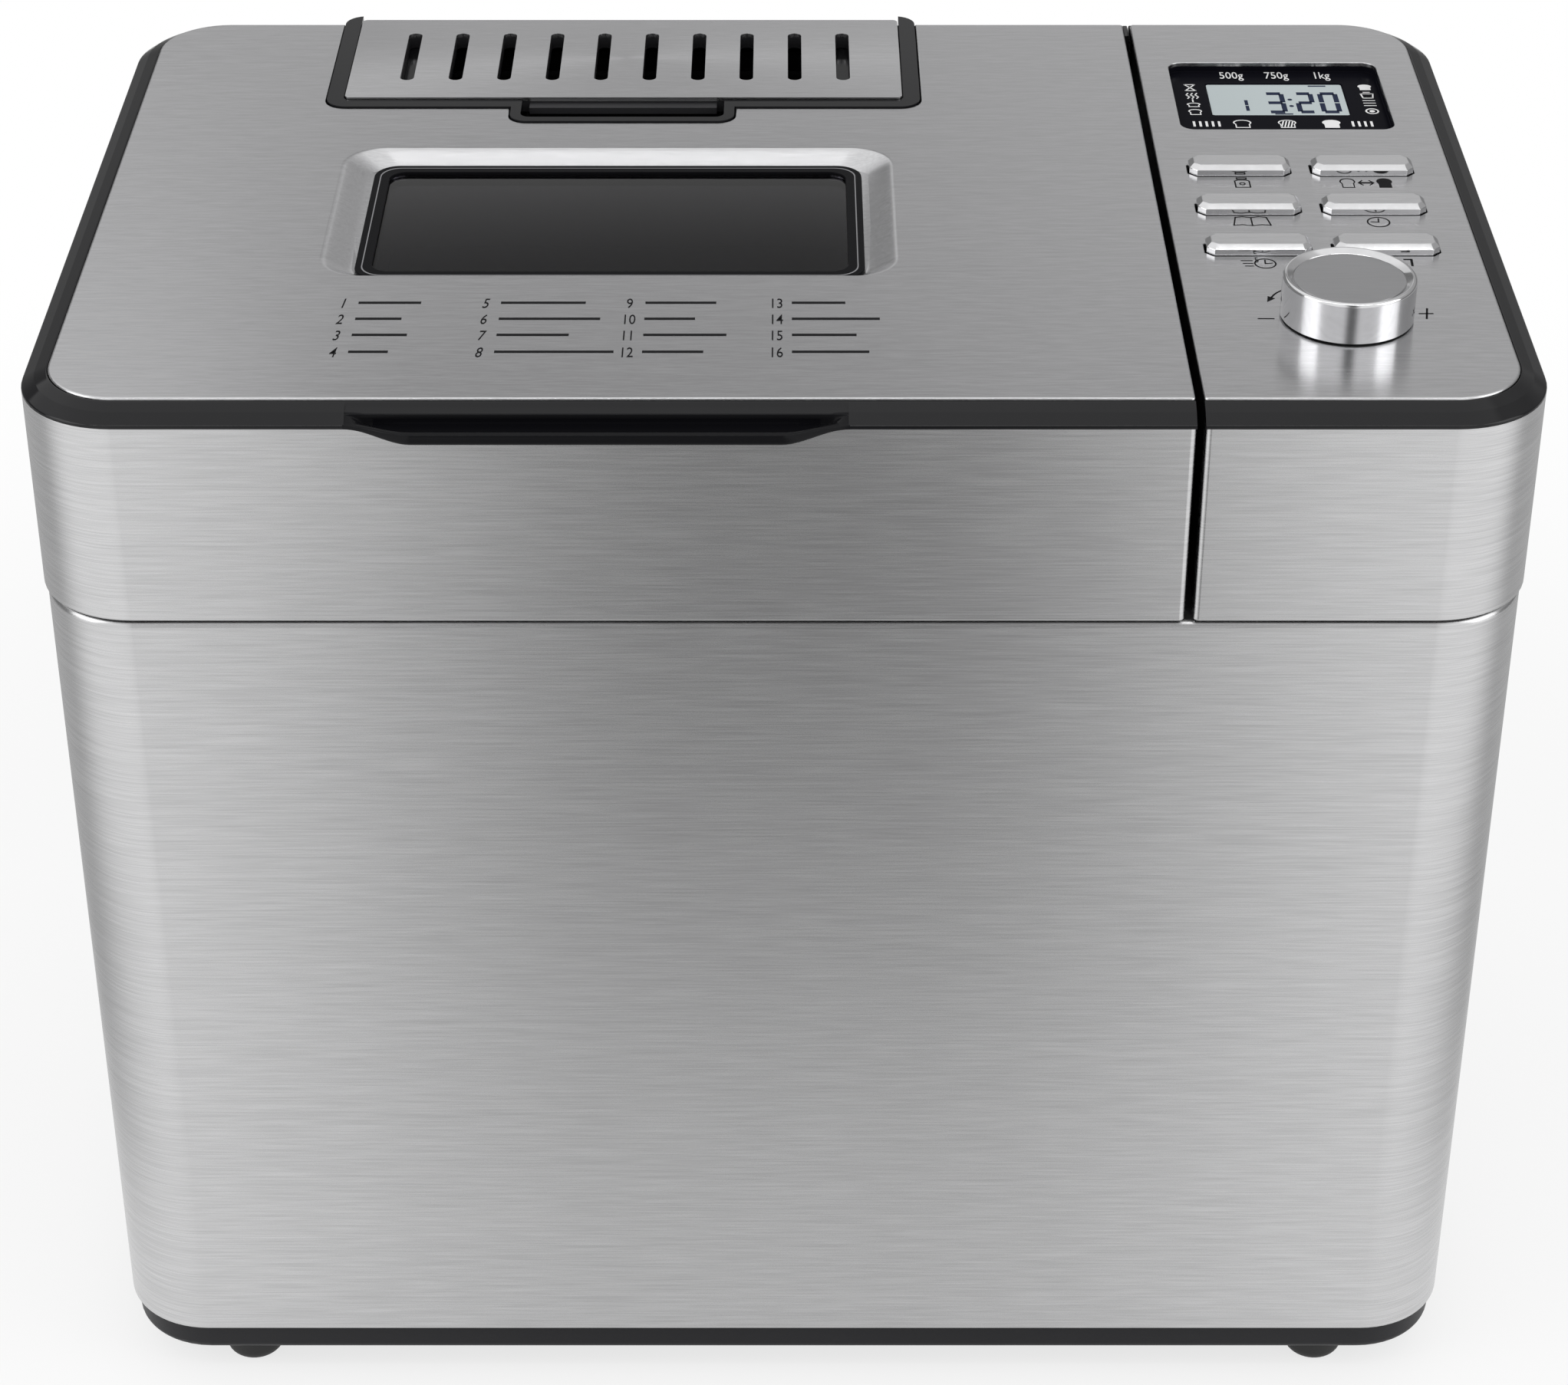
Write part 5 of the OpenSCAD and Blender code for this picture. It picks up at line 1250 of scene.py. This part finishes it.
@dataclass
class Column(Crown):
    """The control column: steel top with display, six buttons and knob."""

    side: str = "control"
    body: str = "housing"
    cut: float = 2.0
    bevel: float = 1.2
    button_flange: float = 1.2
    knob_height: float = 11.5
    buttons: Sequence[str] = ("button_weight", "button_crust", "button_menu", "button_timer",
                              "button_express", "button_start")

    def build(self) -> None:
        """Builds every outside piece of the column."""
        self.skirt()
        skin = Skin()
        skin.sweep(Outline(self.corners(), False, 16), self.rim_profile())
        skin.piece("control_rim_skin", "housing", BLACK_RIM, "black_rim", ["control_rim"])
        self._plate()
        for node in self.buttons:
            self._button(node)
        self._rib()
        self._knob()
        self._display()
        self._marks()

    def _rib(self) -> None:
        """Closes the gap beside the lid at the back."""
        lo, hi = self.box.lo, self.box.hi
        outline = Outline.rounded((lo.x - 1.6, hi.y - 8.6), (lo.x - 0.2, hi.y - 0.6), [0.3] * 4, 3)
        skin = Skin()
        skin.slab(outline, (), lo.z + 1.0, hi.z + 2.0, 0.3)
        skin.piece("gap_rib", "housing", BLACK_SHELL, "black_shell")

    def _octagon(self, box: Block, grow: float) -> Outline:
        """Draws a button's outline.

        Args:
            box: The button's block, which holds its flange too.
            grow: How far outside the button's side the outline runs.

        Returns:
            The outline.
        """
        w, d = (half - self.button_flange + grow for half in box.half.xy)
        c, (x, y) = self.cut + grow / 2, box.mid.xy
        corners = [(-w + c, -d), (w - c, -d), (w, -d + c), (w, d - c),
                   (w - c, d), (-w + c, d), (-w, d - c), (-w, -d + c)]
        return Outline([(x + a, y + b, 0.3) for a, b in corners], True, 2)

    def _plate(self) -> None:
        """Cuts the top plate with its openings."""
        box, r = Block.of("control_plate"), self.plate_corner
        outer = Outline.rounded(box.lo.xy, box.hi.xy, (1.0, r, r, 1.0), 16)
        holes = [Outline.inside(Block.of("display_bezel"), 2.3, 2.3, 4.0, 8),
                 *[self._octagon(Block.of(node), 0.4) for node in self.buttons]]
        skin = Skin()
        skin.slab(outer, holes, box.lo.z, box.hi.z, self.plate_edge, 0.25)
        skin.piece("control_plate_skin", "housing", TOP_STEEL, "brushed_steel", ["control_plate"], 40.0, True)

    def _button(self, node: str) -> None:
        """Makes a button: polished bevels round a satin face.

        Args:
            node: The button's node.
        """
        box, body, bevel = Block.of(node), FRAME["nodes"][node]["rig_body"], self.bevel
        top = box.hi.z
        levels = [(0.0, box.lo.z + 4.0), (0.0, top - bevel - 0.1), (-0.08, top - bevel + 0.08),
                  (-bevel + 0.1, top - 0.12), (-bevel - 0.05, top - 0.02), (-bevel - 0.2, top - 0.06)]
        skin = Skin()
        skin.loft([skin.ring(self._octagon(box, grow).points(), z) for grow, z in levels])
        skin.piece(f"{node}_body", body, BRIGHT_METAL, "button_metal", [node], 20.0)
        face = Skin()
        face.slab(self._octagon(box, -bevel - 0.2), (), top - 0.4, top, 0.08)
        face.piece(f"{node}_face", body, SATIN_METAL, "button_metal", (), 40.0, True)

    def _knob(self) -> None:
        """Turns the knob: a polished ring that slopes in to a sunk satin disc."""
        box = Block.of("control_knob")
        centre, r, top = tuple(box.mid.xy), box.half.x, box.hi.z
        foot = top - self.knob_height
        round_over = [(r - i, top - 1.0 + up) for i, up in arc(1.0, 5)]
        skin = Skin()
        skin.lathe(centre, [(r - 3.0, foot), (r - 0.35, foot), (r, foot + 0.35), *round_over,
                            (r - 1.25, top - 0.04), (r - 2.55, top - 0.98), (r - 2.75, top - 1.3)])
        skin.piece("control_knob_body", "knob", BRIGHT_METAL, "knob_metal", ["control_knob"], 30.0)
        disc = Skin()
        disc.lathe(centre, [(r - 2.85, top - 1.6), (r - 2.85, top - 1.12), (r - 2.95, top - 1.02),
                            (0.6, top - 1.0)])
        disc.piece("control_knob_disc", "knob", KNOB_DISC, "knob_metal", (), 30.0, True)

    def _display(self) -> None:
        """Rounds the bezel and prints what the display shows."""
        soften("display_bezel", BLACK_PANEL, 0.25)
        ink = Ink(Block.of("display_lcd").hi.z, 0.75, 0.02, self.box.lo.y)
        for bars, x0, x1 in (("abgcd", 140.7, 145.1), ("abged", 149.5, 153.6), ("abcdef", 156.4, 160.8)):
            self._seven(ink, bars, (x0, 189.4), (x1, 202.5), 1.5)
        self._seven(ink, "bc", (131.6, 190.0), (134.4, 198.0), 1.0)
        for y in (198.2, 193.6):
            ink.disc((147.3, y), 0.7, steps=12)
        for x0, x1, y in ((153.9, 158.6, 208.0), (142.2, 146.9, 187.9)):
            ink.line((x0, y), (x1, y), width=0.8)
        ink.piece("display_digits", "housing", DIGIT_INK, "black_panel")

    @staticmethod
    def _seven(ink: Ink, bars: str, lo: Point, hi: Point, width: float) -> None:
        """Prints one seven-segment digit.

        Args:
            ink: The print.
            bars: Letters a to g of the lit bars.
            lo: Lower left corner.
            hi: Upper right corner.
            width: Width of an upright bar.
        """
        (x0, y0), (x1, y1) = lo, hi
        mid, cut = (y0 + y1) / 2, width / 2
        levels = {"a": y1, "g": mid, "d": y0}
        uprights = {"b": (x1, mid, y1), "c": (x1, y0, mid), "e": (x0, y0, mid), "f": (x0, mid, y1)}
        for bar in bars:
            if bar in levels:
                ink.line((x0 + cut, levels[bar]), (x1 - cut, levels[bar]), width=width * 1.3)
            else:
                x, low, high = uprights[bar]
                ink.line((x, low + cut), (x, high - cut), width=width)

    def _marks(self) -> None:
        """Prints the marks on the bezel and on the plate."""
        white = Ink(Block.of("display_bezel").hi.z - 1.6, 0.42, front=self.box.lo.y)
        for text, x in (("500g", 131.8), ("750g", 145.1), ("1kg", 158.3)):
            white.number(text, (x, 212.9), 4.8, 0.54)
        for x, fill in ((129.0, 0.0), (141.9, 0.5), (154.6, 1.0)):
            white.loaf((x, 177.5), (x + 5.3, 183.0), fill)
        for x, count in ((117.8, 5), (163.4, 4)):
            for k in range(count):
                white.line((x + 1.8 * k, 178.6), (x + 1.8 * k, 181.8), width=0.7)
        self._left_signs(white, 118.9)
        self._right_signs(white, 170.1)
        white.piece("display_marks", "housing", WHITE_INK, "display")
        dark = Ink(Block.of("control_plate").hi.z, 0.42, front=self.box.lo.y)
        self._upper_signs(dark)
        self._lower_signs(dark)
        dark.piece("panel_marks", "housing", DARK_INK, "black_panel")

    @staticmethod
    def _left_signs(ink: Ink, x: float) -> None:
        """Prints an hourglass, heat waves, a rising loaf and a loaf left of the display.

        Args:
            ink: The print.
            x: The signs' middle.
        """
        ink.line((x - 1.5, 208.4), (x + 1.5, 208.4), (x - 1.5, 204.0), (x + 1.5, 204.0), (x - 1.5, 208.4))
        for at in (x - 1.3, x, x + 1.3):
            ink.line((at, 198.3), (at + 0.6, 199.5), (at - 0.3, 200.8), (at + 0.3, 202.1))
        ink.loaf((x - 2.0, 192.2), (x + 2.0, 195.2))
        ink.line((x, 195.8), (x, 197.6))
        ink.loaf((x - 2.0, 186.6), (x + 2.0, 190.6))

    @staticmethod
    def _right_signs(ink: Ink, x: float) -> None:
        """Prints a loaf, a pot with its lid, three bars and a target right of the display.

        Args:
            ink: The print.
            x: The signs' middle.
        """
        ink.loaf((x - 2.0, 204.4), (x + 2.0, 208.4), 1.0)
        ink.line((x - 1.8, 201.7), (x - 1.4, 198.6), (x + 1.4, 198.6), (x + 1.8, 201.7), (x - 1.8, 201.7))
        for half, y in ((0.9, 202.8), (1.7, 193.2), (1.7, 195.0), (1.7, 196.8)):
            ink.line((x - half, y), (x + half, y))
        ink.disc((x, 189.2), 2.0, 1.5)
        ink.disc((x, 189.2), 0.8)

    @staticmethod
    def _upper_signs(ink: Ink) -> None:
        """Prints a jar, an arrow between a pale and a dark loaf, and a book beside the upper buttons.

        Args:
            ink: The print.
        """
        ink.line((124.6, 130.7), (128.6, 130.7), (128.6, 134.8), (127.7, 135.4), (125.5, 135.4),
                 (124.6, 134.8), (124.6, 130.7))
        ink.line((125.3, 136.0), (127.9, 136.0), (127.9, 136.9), (125.3, 136.9), (125.3, 136.0))
        ink.disc((126.6, 133.0), 0.9, 0.5)
        ink.loaf((153.5, 130.4), (157.9, 136.5))
        ink.loaf((163.7, 130.4), (168.1, 136.5), 1.0)
        ink.line((159.3, 133.6), (162.3, 133.6), width=0.9)
        spine = 126.6
        ink.line((spine, 106.2), (spine, 111.2))
        for side in (-1, 1):
            tip = 160.8 + side * 2.1
            ink.line((tip - side * 1.1, 135.1), (tip, 133.6), (tip - side * 1.1, 132.1))
            ink.line((spine, 106.2), (spine + side * 2.6, 106.8), (spine + side * 5.0, 106.4),
                     (spine + side * 4.2, 111.4), (spine + side * 2.2, 111.8), (spine, 111.2))

    @staticmethod
    def _lower_signs(ink: Ink) -> None:
        """Prints a clock, a quick clock, an angle, and a minus, a plus and a curved arrow at the knob.

        Args:
            ink: The print.
        """
        ink.disc((160.9, 108.4), 3.2, 2.75)
        ink.line((158.9, 108.6), (160.9, 108.3), (161.1, 110.6))
        ink.disc((127.5, 82.9), 3.0, 2.55)
        ink.line((127.6, 85.0), (127.5, 82.9), (129.4, 83.1))
        ink.number("5", (125.4, 83.6), 3.0, 0.6)
        for k in range(3):
            ink.line((121.3 + 0.4 * k, 84.6 - 1.6 * k), (124.2, 84.6 - 1.6 * k))
        ink.line((164.6, 85.3), (166.5, 85.3), (166.3, 81.6), width=0.7)
        for start, end in (((122.2, 50.6), (126.2, 50.6)), ((164.1, 53.5), (167.6, 53.5)),
                           ((165.6, 50.6), (166.5, 56.4))):
            ink.line(start, end, width=0.55)
        ink.line((129.9, 66.8), (128.6, 65.6), (127.6, 64.2), (126.8, 62.6), width=0.5)
        ink.shape([(125.5, 60.2), (127.8, 62.2), (126.0, 63.6)])


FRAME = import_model()


def main() -> None:
    """Dresses the whole machine."""
    logging.basicConfig(level=logging.INFO, format="%(message)s")
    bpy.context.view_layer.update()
    Studio().build()
    for finish, nodes in NODE_FINISHES.items():
        for name in nodes.split():
            dress_node(name, finish)
    for assembly in (Body(), Lid(), Dispenser(), Column()):
        assembly.build()


if __name__ == "__main__":
    main()
